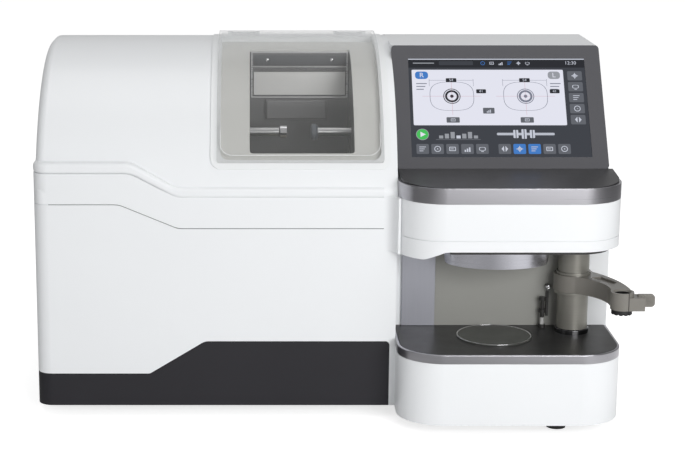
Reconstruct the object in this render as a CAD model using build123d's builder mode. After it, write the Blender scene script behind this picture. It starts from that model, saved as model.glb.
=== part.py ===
from build123d import *
import math
import os

# Optical lens edger with a lens blocker: an edging case on the left, a module with a screen and a
# blocking bay on the right. Millimetres, +Z up, the front looks along -Y. The origin is the middle
# of the machine's outline, on the bench that the feet stand on.

os.makedirs("parts", exist_ok=True)

# ------------------------------------------------------------------ edging case
foot_height = 14.0
foot_radius = 14.0
foot_tread_radius = 11.5
foot_inset = 40.0
foot_side_inset = 73.0
foot_front_inset = 71.0
case_left = -362.75
split_x = 68.75
case_front = -163.0
case_rear = 220.0
case_corner = 18.0
wall = 3.0
pan_thickness = 2.5

trim_low_z = 54.0
trim_high_z = 94.5
trim_slope_start = -226.55
trim_slope_end = -159.95
trim_end_x = 61.75
trim_low_bend = 6.0
trim_high_bend = 15.0
trim_end_bend = 5.0

seam_high_z = 262.4
seam_low_z = 233.5
seam_slope_start = -261.25
seam_slope_end = -191.25
seam_bend = 26.0
seam_groove = 0.8
seam_groove_depth = 1.2

bead_high_z = 299.0
bead_low_z = 270.0
bead_slope_start = -247.25
bead_slope_end = -192.25
bead_height = 12.5
bead_out = 2.5
bead_bend = 30.0
bead_nose = 4.5
bead_depth = 34.0

# ------------------------------------------------------------------ hood of the edging case
roof_z = 434.0
hood_radius = 227.3
hood_front_top_z = 275.9
hood_side_inset = 2.0
hood_edge = 12.0
roof_flat = 33.5
roof_fall = 18.0

# ------------------------------------------------------------------ window, lid and deck
frame_left = -152.75
frame_right = 61.55
frame_low_z = 302.0
frame_proud = 1.5
frame_lip = 4.0
frame_depth = 6.0
frame_border = 11.75
frame_corner = 14.0
frame_rear_gap = 1.0
frame_clearance = 0.3

lid_left = -145.25
lid_right = 52.75
lid_low_z = 309.0
lid_skin = 3.0
lid_height = 7.5
lid_lip = 8.0
lid_gap = 0.5
lid_corner = 3.0
lid_inner_corner = 12.0

hinge_setback = 22.5
hinge_lift = 4.4
hinge_barrel_radius = 2.6
hinge_pin_radius = 1.3
hinge_pin_clearance = 0.05
hinge_barrel_length = 30.0
hinge_ear = 5.0
hinge_inset = 16.0
hinge_side_gap = 0.4
lid_notch_depth = 4.0

deck_thickness = 3.0
chamber_left = -106.25
chamber_right = 18.75
chamber_low_z = 322.0
chamber_roof_drop = 3.7
chamber_corner = 4.0

# ------------------------------------------------------------------ grinding chamber
tub_wall = 2.0
tub_front = -144.0
tub_floor_gap = 7.0
drain_radius = 10.0
drain_length = 24.0
drain_x = -40.0
drain_y = -100.0

splash_roof_drop = 38.0
splash_height = 29.0
splash_thickness = 2.0
splash_side_gap = 5.0
tool_cover_left = -86.4
tool_cover_right = -9.2
tool_cover_gap = 6.0
tool_cover_height = 25.0
tool_cover_depth = 6.0
nozzle_radius = 3.5
nozzle_bore = 1.5
nozzle_drop = 44.0
nozzle_wheel_gap = 36.0

# ------------------------------------------------------------------ lens carriage
lens_setback = 56.74
lens_roof_drop = 105.0
shaft_radius = 5.5
shaft_clearance = 0.05
chuck_radius = 8.0
chuck_length = 9.45
chuck_face_x = -60.55
pad_radius = 10.0
pad_length = 8.0
pad_face_x = -30.45
left_shaft_end_x = -140.0
right_shaft_end_x = 60.0
quill_radius = 8.0
quill_left_x = 20.0
quill_right_x = 62.0
pivot_offset = 108.0
pivot_radius = 6.0
pivot_boss_radius = 14.0
lens_boss_radius = 13.0
carriage_bar_height = 20.0
carriage_left_x = -132.0
carriage_right_x = 26.0
carriage_arm = 10.0
slot_half_width = 11.0
slot_below = 33.0
slot_above = 13.0
seal_thickness = 2.0
seal_gap = 1.2
seal_half_width = 17.0
seal_half_height = 37.0
bracket_thickness = 8.0
bracket_gap = 4.0
bracket_half_width = 20.0
bracket_crown = 18.0

# ------------------------------------------------------------------ grinding spindle and motor
wheel_forward = 17.0
wheel_drop = 77.0
wheel_radius = 45.0
wheel_left_x = -88.0
wheel_widths = (20.0, 18.0, 18.0)
wheel_gap = 0.5
bevel_groove_depth = 2.5
bevel_groove_half_width = 3.5
spindle_radius = 7.0
spindle_left_x = -164.0
spindle_right_x = -26.0
spindle_hole_radius = 9.0
spindle_housing_radius = 22.0
spindle_housing_left_x = -146.0
pulley_left_x = -162.0
pulley_width = 12.0
pulley_flange = 1.0
pulley_flange_height = 4.0
spindle_pulley_radius = 20.0
motor_pulley_radius = 12.0
belt_gap = 0.3
belt_thickness = 2.0
belt_side_gap = 0.5
motor_z = 80.0
motor_radius = 36.0
motor_left_x = -140.0
motor_right_x = -40.0
motor_shaft_radius = 6.0
motor_bore_depth = 20.0
motor_foot_half_width = 30.0

# ------------------------------------------------------------------ rear services
service_left = -310.0
service_right = 10.0
service_low_z = 106.0
service_high_z = 214.0
service_overlap = 8.0
panel_thickness = 1.5
fan_x = -250.0
fan_z = 160.0
fan_size = 80.0
fan_pin_setback = 3.0
fan_rotor_setback = 2.0
fan_rotor_gap = 1.0
fan_blade_sink = 1.0
fan_rim = 2.0
fan_depth = 15.0
fan_tip_gap = 2.0
fan_hub_share = 0.34
fan_pin_radius = 2.0
fan_spoke_depth = 3.0
fan_spoke_width = 5.0
fan_blades = 7
fan_blade_thickness = 1.6
fan_blade_width = 12.0
fan_blade_pitch = 32.0
vent_slots = 8
vent_pitch = 8.0
vent_margin = 9.0
vent_width = 3.6
inlet_x = -130.0
inlet_z = 160.0
inlet_width = 48.0
inlet_height = 28.0
inlet_flange = 2.5
inlet_depth = 18.0
inlet_rim = 4.0
inlet_wall = 2.0
socket_width = 27.0
socket_height = 20.0
socket_depth = 15.0
socket_pin_length = 9.0
socket_pin_half_width = 1.0
socket_pin_half_height = 2.0
socket_pins = ((-7.0, -2.0), (0.0, 2.0), (7.0, -2.0))
cut_over = 1.0
rocker_x = -82.0
rocker_radius = 9.0
rocker_width = 11.0
rocker_setback = 4.0
rocker_gap = 0.4
rocker_rest = 10.0
rocker_dish = 6.0
switch_frame_width = 21.0
switch_frame_height = 28.0
spigot_x = -30.0
spigot_pitch = 32.0
spigot_radius = 8.0
spigot_bore = 5.5
spigot_flange_radius = 12.0
spigot_reach = 18.5

# ------------------------------------------------------------------ module: tower, head and base
module_reveal = 0.8
tower_front = -109.0
tower_roof_end_y = 100.0
tower_rear_z = 418.0
tower_corner = 12.0
shoulder_inset = 6.0
roof_edge_radius = 5.0

base_front = -240.0
base_corner = 52.0
base_top_z = 89.0
table_z = 100.0
band_width = 3.0

head_front = -213.0
head_corner = 54.0
head_low_z = 216.0
head_lobe_z = 206.0
head_seam_z = 229.5
head_band_low_z = 272.7
head_band_high_z = 291.3
lobe_slope_start = 97.0
lobe_slope_end = 122.0
lobe_bend = 14.0
cove_radius = 16.0

# ------------------------------------------------------------------ screen
bezel_foot_y = -123.3
bezel_foot_z = 298.0
bezel_tilt = 37.2
bezel_thickness = 11.0
bezel_corner = 5.0
screen_width = 217.0
screen_height = 136.5
screen_left_border = 20.0
screen_right_border = 19.2
screen_bottom = 15.4
screen_top = 18.3
glass_step = 1.6
glass_overlap = 3.0
glass_thickness = 2.0
glass_clearance = 0.3
lcd_thickness = 6.0

# ------------------------------------------------------------------ blocking bay
ceiling_low_z = 211.0
ceiling_left = 128.0
ceiling_inset = 10.0
camera_offset = -12.75
camera_y = -158.0
camera_low_z = 192.0
camera_half_width = 61.0
camera_half_depth = 42.0
camera_flare = 2.0
camera_wall = 2.0
ring_z = 200.0
ring_thickness = 4.0
ring_gap = 0.3
ring_bore = 26.0
camera_lens_radius = 20.0
camera_lens_length = 13.0
camera_boss_radius = 25.6
side_panel_left = 79.45
side_panel_right = 120.05
side_panel_depth = 4.0
back_panel_depth = 2.0
back_panel_inset = 31.75
disc_radius = 45.0
disc_proud = 1.3
disc_seat = 3.0

# ------------------------------------------------------------------ blocking arm
column_inset = 47.3
column_y = -136.0
column_radius = 18.5
column_ring_radius = 20.2
column_ring_height = 6.0
column_ring_edge = 1.0
bush_radius = 20.6
bush_low_z = 149.0
bush_high_z = 176.0
bush_flange = 3.0
bush_flange_radius = 22.4
arm_clearance = 0.05
arm_low_z = 152.5
arm_high_z = 173.0
tip_inset = 6.25
hub_radius = 23.4
arm_outer_start = (4.0, 22.0)
arm_outer_bow = 25.0
arm_outer_back = 1.41
arm_outer_half = 13.0
arm_inner_start = (19.0, -12.5)
arm_inner_bow = 1.0
arm_inner_back = 10.41
arm_inner_half = 8.5
arm_bow_share = 0.523
arm_inner_shift = 6.0
tip_radius = 13.5
tip_bore = 8.5
tip_chamfer = 2.4
pocket_points = ((29.0, 4.5), (68.0, 9.5), (62.0, 19.0), (30.0, 18.5))
pocket_corner = 1.5
pocket_depth = 2.5
clamp_reach = 24.3
clamp_front = 12.96
clamp_rear = 7.54
clamp_top_drop = 5.0
slit_width = 0.8
slit_offset = 5.0
holder_radius = 12.0
holder_drop = 6.0
holder_bore = 6.5
holder_top_z = 168.0
holder_clearance = 0.05
holder_teeth = 12
holder_tooth_width = 2.2
holder_tooth_depth = 2.5
clip_pin_reach = 19.0
clip_pin_front = 2.46
clip_pin_radius = 2.0
clip_low_z = 155.5
clip_high_z = 170.5
clip_thickness = 4.0
clip_reach = 37.25
clip_gap = 0.4
clip_swing_room = 2.5
clip_tab_corner = 4.5
post_offset_x = -33.55
post_offset_y = 16.0
post_radius = 2.5
post_high_z = 138.0
post_collar_radius = 4.5
post_collar_height = 4.0
guide_offset_x = -26.95
guide_width = 3.0
guide_depth = 4.0
guide_low_z = 113.0
guide_high_z = 144.0
knob_z = 150.0
knob_radius = 3.0
knob_length = 9.0

# ------------------------------------------------------------------ worked-out values
hood_centre_z = roof_z - hood_radius
hood_crest_y = case_front + math.sqrt(hood_radius**2 - (hood_front_top_z - hood_centre_z) ** 2)
roof_end_y = hood_crest_y + roof_flat
roof_rear_z = roof_z - roof_fall
frame_rear_y = roof_end_y - frame_rear_gap
hinge_y = hood_crest_y + hinge_setback
chamber_high_z = roof_z - chamber_roof_drop
chamber_rear_turn = math.acos((chamber_high_z - hood_centre_z) / hood_radius)
tub_rear = hood_crest_y - (hood_radius - frame_depth) * math.sin(chamber_rear_turn)
splash_high_z = roof_z - splash_roof_drop
splash_low_z = splash_high_z - splash_height
tool_cover_high_z = splash_low_z - tool_cover_gap
tool_cover_low_z = tool_cover_high_z - tool_cover_height
lens_y = tub_rear - lens_setback
lens_z = roof_z - lens_roof_drop
pivot_y = lens_y + pivot_offset
slot_low_z = lens_z - slot_below
slot_high_z = lens_z + slot_above
seal_low_z = lens_z - seal_half_height
seal_high_z = lens_z + seal_half_height
wheel_y = lens_y - wheel_forward
wheel_z = lens_z - wheel_drop
tub_floor = wheel_z - wheel_radius - tub_floor_gap
nozzle_z = lens_z - nozzle_drop
nozzle_length = tub_rear - wheel_y - nozzle_wheel_gap
fan_bore = fan_size / 2 - fan_rim
fan_tip_radius = fan_bore - fan_tip_gap
fan_hub_radius = fan_bore * fan_hub_share
vent_length = fan_size - 2 * vent_margin
bezel_width = screen_left_border + screen_width + screen_right_border
bezel_length = screen_bottom + screen_height + screen_top
module_right = split_x + bezel_width + module_reveal + shoulder_inset
camera_x = (split_x + module_right) / 2 + camera_offset
back_panel_right = module_right - back_panel_inset
column_x = module_right - column_inset
tip_rest_x = module_right - tip_inset
post_x = column_x + post_offset_x
post_y = column_y + post_offset_y
guide_x = column_x + guide_offset_x
tilt = math.radians(bezel_tilt)
bezel_top_y = bezel_foot_y + bezel_length * math.sin(tilt)
bezel_top_z = bezel_foot_z + bezel_length * math.cos(tilt)
bezel_back_y = bezel_thickness * math.cos(tilt)
bezel_back_z = -bezel_thickness * math.sin(tilt)
shoulder_x = module_right - shoulder_inset
far = 600.0
hinge_z = roof_z + hinge_lift
arm_length = math.hypot(camera_x - column_x, camera_y - column_y)
arm_turn = -math.acos((tip_rest_x - column_x) / arm_length)
tip_x = column_x + arm_length * math.cos(arm_turn)
tip_y = column_y + arm_length * math.sin(arm_turn)
clamp_right = tip_x + clamp_reach
clamp_front_y = tip_y - clamp_front
clamp_rear_y = tip_y + clamp_rear
clip_pin_x = tip_x + clip_pin_reach
clip_pin_y = tip_y - clip_pin_front
clip_right = tip_x + clip_reach
bead_end_x = split_x - cove_radius - frame_clearance
panel_face_y = case_rear + panel_thickness


# ------------------------------------------------------------------ shapes used more than once
def block(x0, x1, y0, y1, z0, z1, mode=Mode.ADD):
    """Box between two corners."""
    with BuildSketch(Plane.XY.offset(z0)) as section:
        with Locations(((x0 + x1) / 2, (y0 + y1) / 2)):
            Rectangle(x1 - x0, y1 - y0)
    extrude(section.sketch, amount=z1 - z0, mode=mode)


def rod_x(x0, x1, y, z, radius, mode=Mode.ADD):
    """Round bar along X."""
    with BuildSketch(Plane.YZ.offset(x0)) as section:
        with Locations((y, z)):
            Circle(radius)
    extrude(section.sketch, amount=x1 - x0, mode=mode)


def rod_y(y0, y1, x, z, radius, mode=Mode.ADD):
    """Round bar along Y."""
    with BuildSketch(Plane.XZ.offset(-y1)) as section:
        with Locations((x, z)):
            Circle(radius)
    extrude(section.sketch, amount=y1 - y0, mode=mode)


def rod_z(z0, z1, x, y, radius, mode=Mode.ADD):
    """Round bar along Z."""
    with BuildSketch(Plane.XY.offset(z0)) as section:
        with Locations((x, y)):
            Circle(radius)
    extrude(section.sketch, amount=z1 - z0, mode=mode)


def case_outline(inset, out=0.0):
    """Footprint of the edging case, square where it meets the module."""
    left = case_left + inset
    right = split_x - inset
    front = case_front + inset - out
    rear = case_rear - inset
    with BuildSketch(Plane.XY, mode=Mode.PRIVATE) as outline:
        with Locations(((left + right) / 2, (front + rear) / 2)):
            Rectangle(right - left, rear - front)
        fillet(outline.vertices().group_by(Axis.X)[0], case_corner - inset)
    return outline.sketch


def pod_outline(front, corner, inset):
    """Footprint of the base and the head: a rounded front on a square back."""
    left = split_x + inset
    right = module_right - inset
    with BuildSketch(Plane.XY, mode=Mode.PRIVATE) as outline:
        with Locations(((left + right) / 2, (front + inset + tower_front) / 2)):
            Rectangle(right - left, tower_front - front - inset)
        fillet(outline.vertices().group_by(Axis.Y)[0], corner - inset)
    return outline.sketch


def under_step(z_left, z_right, slope_start, slope_end, bend, floor_z):
    """Front-view area under a line that runs level, slopes once and runs level again."""
    with BuildSketch(Plane.XY, mode=Mode.PRIVATE) as area:
        with BuildLine():
            FilletPolyline(
                (-far, z_left), (slope_start, z_left), (slope_end, z_right), (far, z_right), radius=bend
            )
            Polyline((far, z_right), (far, floor_z), (-far, floor_z), (-far, z_left))
        make_face()
    return area.sketch


def front_prism(area, y0, y1, mode):
    """Carries a front-view area from y1 forwards to y0."""
    with BuildSketch(Plane.XZ.offset(-y1)) as section:
        add(area)
    extrude(section.sketch, amount=y1 - y0, mode=mode)


def hood_profile(inset, low_z):
    """Side view of the hood: upright front, one arc up to the crest, level roof, falling rear."""
    radius = hood_radius - inset
    front = case_front + inset
    rear = case_rear - inset
    top = roof_z - inset
    rise = math.asin((hood_crest_y - front) / radius)
    start_z = hood_centre_z + radius * math.cos(rise)
    with BuildSketch(Plane.XY, mode=Mode.PRIVATE) as area:
        with BuildLine():
            Line((front, low_z), (front, start_z))
            CenterArc((hood_crest_y, hood_centre_z), radius, 90 + math.degrees(rise), -math.degrees(rise))
            Polyline(
                (hood_crest_y, top),
                (roof_end_y, top),
                (rear, roof_rear_z - inset),
                (rear, low_z),
                (front, low_z),
            )
        make_face()
    return area.sketch


def hood_block(inset, low_z):
    """Solid under the hood, rounded along its left end."""
    left = case_left + hood_side_inset + inset
    with BuildPart(mode=Mode.PRIVATE) as hood:
        with BuildSketch(Plane.YZ.offset(left)):
            add(hood_profile(inset, low_z))
        extrude(amount=split_x - inset - left)
        end_edges = hood.faces().sort_by(Axis.X)[0].edges()
        fillet(end_edges.sort_by(Axis.Z)[1:], hood_edge - inset)
    return hood.part


def hood_reach(z):
    """Angle from the crest forwards to the height z on the hood."""
    return math.degrees(math.acos((z - hood_centre_z) / hood_radius))


def hood_patch(x0, x1, low, high, front_reach, rear_y, corner):
    """Plate that follows the hood from front_reach back to rear_y, its front corners rounded.

    low and high are its lower and upper faces, measured out from the hood's surface."""
    centre = (hood_crest_y, hood_centre_z)
    inner = hood_radius + low
    outer = hood_radius + high
    turn = math.radians(front_reach)
    inner_end = (centre[0] - inner * math.sin(turn), centre[1] + inner * math.cos(turn))
    outer_end = (centre[0] - outer * math.sin(turn), centre[1] + outer * math.cos(turn))
    with BuildPart(mode=Mode.PRIVATE) as patch:
        with BuildSketch(Plane.YZ.offset(x0)):
            with BuildLine():
                CenterArc(centre, outer, 90 + front_reach, -front_reach)
                Polyline(
                    (hood_crest_y, centre[1] + outer),
                    (rear_y, centre[1] + outer),
                    (rear_y, centre[1] + inner),
                    (hood_crest_y, centre[1] + inner),
                )
                CenterArc(centre, inner, 90, front_reach)
                Line(inner_end, outer_end)
            make_face()
        extrude(amount=x1 - x0)
        front_end = patch.faces().filter_by(GeomType.PLANE).sort_by(Axis.Z)[0]
        fillet(front_end.edges().filter_by(lambda edge: abs(edge.tangent_at(0).X) < 0.1), corner)
    return patch.part


def tower_block(inset):
    """Solid of the module's tower: upright in the bay, cut back behind the screen, stepped at the right."""
    front = tower_front + inset
    slope_back = inset / math.cos(tilt)
    foot_y = bezel_foot_y + bezel_back_y
    foot_z = bezel_foot_z + bezel_back_z
    rise = (front - slope_back - foot_y) / math.tan(tilt)
    lip_y = bezel_top_y + bezel_back_y
    lip_z = bezel_top_z + bezel_back_z
    roof = bezel_top_z - inset
    with BuildPart(mode=Mode.PRIVATE) as tower:
        with BuildSketch(Plane.YZ.offset(split_x + inset)):
            with BuildLine():
                if inset:
                    meet_y = front + (roof - foot_z - rise) * math.tan(tilt)
                    Polyline((front, foot_height), (front, foot_z + rise), (meet_y, roof))
                    Line((meet_y, roof), (tower_roof_end_y, roof))
                else:
                    Polyline(
                        (front, foot_height),
                        (front, foot_z + rise),
                        (lip_y, lip_z),
                        (bezel_top_y, bezel_top_z),
                        (tower_roof_end_y, roof),
                    )
                Polyline(
                    (tower_roof_end_y, roof),
                    (case_rear - inset, tower_rear_z - inset),
                    (case_rear - inset, foot_height),
                    (front, foot_height),
                )
            make_face()
        extrude(amount=module_right - split_x - 2 * inset)
        block(
            shoulder_x - inset, far, -far, far, head_band_high_z - inset, far, mode=Mode.SUBTRACT
        )
        corner_edges = tower.edges().filter_by(Axis.Z).group_by(Axis.Y)[-1].filter_by(
            lambda edge: edge.center().X > 0.5 * (split_x + module_right)
        )
        fillet(corner_edges.sort_by(Axis.Z)[0], tower_corner - inset)
        top_edge = tower.edges().filter_by(Axis.Y).sort_by(Axis.Z)[-2:].sort_by(Axis.X)[-1]
        fillet(top_edge, roof_edge_radius - min(inset, roof_edge_radius - 1))
    return tower.part


# ------------------------------------------------------------------ floor and feet
foot_rear_y = case_rear - foot_inset
foot_places = [
    (module_right - foot_side_inset, base_front + foot_inset),
    (module_right - foot_side_inset, foot_rear_y),
    (case_left + foot_inset, case_front + foot_front_inset),
    (case_left + foot_inset, foot_rear_y),
    (split_x - foot_inset, case_front + foot_front_inset),
]

with BuildPart() as base_pan:
    with BuildSketch(Plane.XY.offset(foot_height)):
        add(case_outline(wall))
        add(pod_outline(base_front, base_corner, wall))
        with Locations(((split_x + module_right) / 2 - wall, (case_front + case_rear) / 2)):
            Rectangle(module_right - split_x, case_rear - case_front - 2 * wall)
    extrude(amount=pan_thickness)
base_pan.part.label = "base_pan"
export_step(base_pan.part, "parts/base_pan.step")

with BuildPart() as feet:
    with Locations(*[(x, y, foot_height / 2) for x, y in foot_places]):
        Cone(foot_tread_radius, foot_radius, foot_height)
feet.part.label = "feet"
export_step(feet.part, "parts/feet.step")

# ------------------------------------------------------------------ shells of the edging case
seam_area = under_step(seam_high_z, seam_low_z, seam_slope_start, seam_slope_end, seam_bend, -far)
with BuildSketch(Plane.XY) as trim_sketch:
    with BuildLine():
        FilletPolyline(
            (-far, trim_low_z),
            (trim_slope_start, trim_low_z),
            (trim_slope_end, trim_high_z),
            (trim_end_x, trim_high_z),
            (trim_end_x, 0),
            radius=[trim_low_bend, trim_high_bend, trim_end_bend],
        )
        Polyline((trim_end_x, 0), (-far, 0), (-far, trim_low_z))
    make_face()
trim_area = trim_sketch.sketch

with BuildPart() as base_trim:
    with BuildSketch(Plane.XY.offset(foot_height)):
        add(case_outline(0))
        add(case_outline(wall), mode=Mode.SUBTRACT)
    extrude(amount=trim_high_z)
    front_prism(trim_area, -far, far, Mode.INTERSECT)
base_trim.part.label = "base_trim"
export_step(base_trim.part, "parts/base_trim.step")

with BuildSketch(Plane.XY) as seam_line_area:
    add(seam_area)
    with Locations((0, -seam_groove)):
        add(seam_area, mode=Mode.SUBTRACT)
with BuildPart(mode=Mode.PRIVATE) as seam_line:
    with BuildSketch(Plane.XY.offset(seam_low_z - wall)):
        add(case_outline(0, wall))
        add(case_outline(seam_groove_depth), mode=Mode.SUBTRACT)
    extrude(amount=seam_high_z - seam_low_z + 2 * wall)
    block(-far, far, case_rear - case_corner, far, 0, far, mode=Mode.SUBTRACT)
    front_prism(seam_line_area.sketch, -far, far, Mode.INTERSECT)

with BuildPart() as lower_housing:
    with BuildSketch(Plane.XY.offset(foot_height)):
        add(case_outline(0))
        add(case_outline(wall), mode=Mode.SUBTRACT)
    extrude(amount=seam_high_z)
    front_prism(seam_area, -far, far, Mode.INTERSECT)
    front_prism(trim_area, -far, far, Mode.SUBTRACT)
    block(
        service_left, service_right, case_rear - 2 * wall, case_rear + wall,
        service_low_z, service_high_z, mode=Mode.SUBTRACT,
    )
    add(base_pan.part, mode=Mode.SUBTRACT)
    add(seam_line.part, mode=Mode.SUBTRACT)
lower_housing.part.label = "lower_housing"
export_step(lower_housing.part, "parts/lower_housing.step")

hood_outer = hood_block(0.0, seam_low_z)
hood_core = hood_block(wall, seam_low_z - 1.0)
bead_top_area = under_step(
    bead_high_z + bead_height, bead_low_z + bead_height, bead_slope_start, bead_slope_end, bead_bend, -far
)
bead_low_area = under_step(
    bead_high_z, bead_low_z, bead_slope_start, bead_slope_end, bead_bend, -far
)
with BuildPart(mode=Mode.PRIVATE) as bead:
    with BuildSketch(Plane.XY.offset(seam_low_z)):
        add(case_outline(0, bead_out))
    extrude(amount=bead_high_z + 2 * bead_height - seam_low_z)
    block(bead_end_x, far, -far, far, 0, far, mode=Mode.SUBTRACT)
    front_prism(bead_top_area, -far, far, Mode.INTERSECT)
    front_prism(bead_low_area, -far, far, Mode.SUBTRACT)
    nose = bead.edges().filter_by_position(
        Axis.Y, case_front - bead_out - 0.01, case_front - bead_out + 0.01
    )
    fillet(nose.filter_by(lambda edge: abs(edge.tangent_at(0.5).X) > 0.5), bead_nose)

cover_cut = hood_patch(
    frame_left + frame_lip, frame_right - frame_lip, -4 * wall, 4 * wall,
    hood_reach(frame_low_z) - 1.0, frame_rear_y - frame_lip, frame_corner - frame_lip,
)
with BuildPart() as upper_cover:
    with BuildSketch(Plane.XY.offset(seam_low_z)):
        add(case_outline(0))
    extrude(amount=bead_high_z + bead_height / 2 - seam_low_z)
    block(-far, far, case_front + bead_depth, case_rear - bead_depth, 0, far, mode=Mode.SUBTRACT)
    front_prism(bead_low_area, -far, far, Mode.INTERSECT)
    add(bead.part)
    add(hood_outer)
    add(hood_core, mode=Mode.SUBTRACT)
    front_prism(seam_area, -far, far, Mode.SUBTRACT)
    add(cover_cut, mode=Mode.SUBTRACT)
upper_cover.part.label = "upper_cover"
export_step(upper_cover.part, "parts/upper_cover.step")

# ------------------------------------------------------------------ window frame, deck and lid
frame_reach = hood_reach(frame_low_z)
lid_reach = hood_reach(lid_low_z)
frame_flange = hood_patch(
    frame_left, frame_right, 0.0, frame_proud, frame_reach, frame_rear_y, frame_corner
)
frame_inner = frame_lip + frame_clearance
frame_collar = hood_patch(
    frame_left + frame_inner, frame_right - frame_inner, -frame_depth, 0.0,
    frame_reach - 1.0 - math.degrees(frame_clearance / hood_radius),
    frame_rear_y - frame_inner, frame_corner - frame_inner,
)
frame_hole = hood_patch(
    frame_left + frame_border, frame_right - frame_border, -2 * frame_depth, 2 * frame_depth,
    frame_reach - math.degrees(frame_border / hood_radius), frame_rear_y - 2 * frame_border,
    frame_corner - frame_lip,
)
with BuildPart() as window_frame:
    add(frame_flange)
    add(frame_collar)
    add(frame_hole, mode=Mode.SUBTRACT)
window_frame.part.label = "window_frame"
export_step(window_frame.part, "parts/window_frame.step")

deck_plate = hood_patch(
    frame_left + frame_inner, frame_right - frame_inner, -frame_depth - deck_thickness, -frame_depth,
    frame_reach - 1.2, frame_rear_y - frame_inner, frame_corner - frame_inner,
)
chamber_front_reach = hood_reach(chamber_low_z)
chamber_rear_reach = hood_reach(chamber_high_z)
mouth_radius = hood_radius + deck_thickness


def hood_spoke(reach):
    """Point just outside the hood, reach degrees before the crest."""
    turn = math.radians(reach)
    return (hood_crest_y - mouth_radius * math.sin(turn), hood_centre_z + mouth_radius * math.cos(turn))


with BuildPart() as deck:
    add(deck_plate)
    with BuildSketch(Plane.YZ.offset(chamber_left)):
        with BuildLine():
            Polyline(
                (hood_crest_y, hood_centre_z),
                hood_spoke(chamber_front_reach),
                hood_spoke((chamber_front_reach + chamber_rear_reach) / 2),
                hood_spoke(chamber_rear_reach),
                close=True,
            )
        make_face()
    extrude(amount=chamber_right - chamber_left, mode=Mode.SUBTRACT)
    mouth_corners = deck.edges().filter_by(
        lambda edge: edge.length < 2 * deck_thickness
        and chamber_left - 1 < edge.center().X < chamber_right + 1
        and abs(edge.tangent_at(0).X) < 0.1
    )
    fillet(mouth_corners, chamber_corner)
deck.part.label = "deck"
export_step(deck.part, "parts/deck.step")

lid_outer = hood_patch(
    lid_left, lid_right, frame_proud + lid_gap, lid_height, lid_reach, hinge_y, lid_corner
)
lid_hollow = hood_patch(
    lid_left + lid_skin, lid_right - lid_skin, frame_proud - lid_gap, lid_height - lid_skin,
    lid_reach - math.degrees(lid_lip / hood_radius), hinge_y + lid_skin, lid_inner_corner,
)
barrel_starts = (lid_left + hinge_inset, lid_right - hinge_inset - hinge_barrel_length)
with BuildPart() as lid:
    add(lid_outer)
    add(lid_hollow, mode=Mode.SUBTRACT)
    for start in barrel_starts:
        end = start + hinge_barrel_length
        rod_x(start, end, hinge_y, hinge_z, hinge_barrel_radius)
        for side in (start - hinge_ear - 2 * hinge_side_gap, end):
            block(
                side, side + hinge_ear + 2 * hinge_side_gap, hinge_y - lid_notch_depth, hinge_y + lid_skin,
                roof_z, roof_z + 2 * lid_height, mode=Mode.SUBTRACT,
            )
        rod_x(start, end, hinge_y, hinge_z, hinge_pin_radius + hinge_pin_clearance, mode=Mode.SUBTRACT)
lid.part.label = "lid"
export_step(lid.part, "parts/lid.step")

with BuildPart() as lid_brackets:
    for start in barrel_starts:
        end = start + hinge_barrel_length
        ear_low = start - hinge_side_gap - hinge_ear
        ear_high = end + hinge_side_gap
        for side in (ear_low, ear_high):
            block(
                side, side + hinge_ear, hinge_y - hinge_barrel_radius, hinge_y + 2 * hinge_barrel_radius,
                roof_z + frame_proud, hinge_z,
            )
            rod_x(side, side + hinge_ear, hinge_y, hinge_z, hinge_barrel_radius)
        rod_x(ear_low, ear_high + hinge_ear, hinge_y, hinge_z, hinge_pin_radius)
lid_brackets.part.label = "lid_brackets"
export_step(lid_brackets.part, "parts/lid_brackets.step")

# ------------------------------------------------------------------ grinding chamber
with BuildPart() as chamber_tub:
    block(
        chamber_left - tub_wall, chamber_right + tub_wall, tub_front - tub_wall, tub_rear + tub_wall,
        tub_floor - tub_wall, roof_z,
    )
    block(chamber_left, chamber_right, tub_front, tub_rear, tub_floor, far, mode=Mode.SUBTRACT)
    rod_x(
        chamber_left - wall, chamber_right + wall, hood_crest_y, hood_centre_z,
        hood_radius - frame_depth - deck_thickness, mode=Mode.INTERSECT,
    )
    block(
        chamber_left - wall, chamber_right + wall, lens_y - slot_half_width, lens_y + slot_half_width,
        slot_low_z, slot_high_z, mode=Mode.SUBTRACT,
    )
    rod_x(chamber_left - wall, chamber_left + wall, wheel_y, wheel_z, spindle_hole_radius, Mode.SUBTRACT)
    rod_z(tub_floor - drain_length, tub_floor, drain_x, drain_y, drain_radius)
    rod_z(
        tub_floor - drain_length, tub_floor, drain_x, drain_y, drain_radius - tub_wall, Mode.SUBTRACT
    )
chamber_tub.part.label = "chamber_tub"
export_step(chamber_tub.part, "parts/chamber_tub.step")

with BuildPart() as splash_plate:
    block(
        chamber_left + splash_side_gap, chamber_right - splash_side_gap, tub_rear - splash_thickness,
        tub_rear, splash_low_z, splash_high_z,
    )
splash_plate.part.label = "splash_plate"
export_step(splash_plate.part, "parts/splash_plate.step")

with BuildPart() as tool_cover:
    block(
        tool_cover_left, tool_cover_right, tub_rear - tool_cover_depth, tub_rear,
        tool_cover_low_z, tool_cover_high_z,
    )
    chamfer(tool_cover.faces().sort_by(Axis.Y)[0].edges(), tool_cover_depth / 3)
tool_cover.part.label = "tool_cover"
export_step(tool_cover.part, "parts/tool_cover.step")

nozzle_places = [wheel_left_x + wheel_widths[0] / 2, wheel_left_x + sum(wheel_widths[:2])]
with BuildPart() as water_nozzle:
    for place in nozzle_places:
        rod_y(tub_rear - nozzle_length, tub_rear, place, nozzle_z, nozzle_radius)
        rod_y(tub_rear - nozzle_length, tub_rear, place, nozzle_z, nozzle_bore, Mode.SUBTRACT)
water_nozzle.part.label = "water_nozzle"
export_step(water_nozzle.part, "parts/water_nozzle.step")

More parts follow.
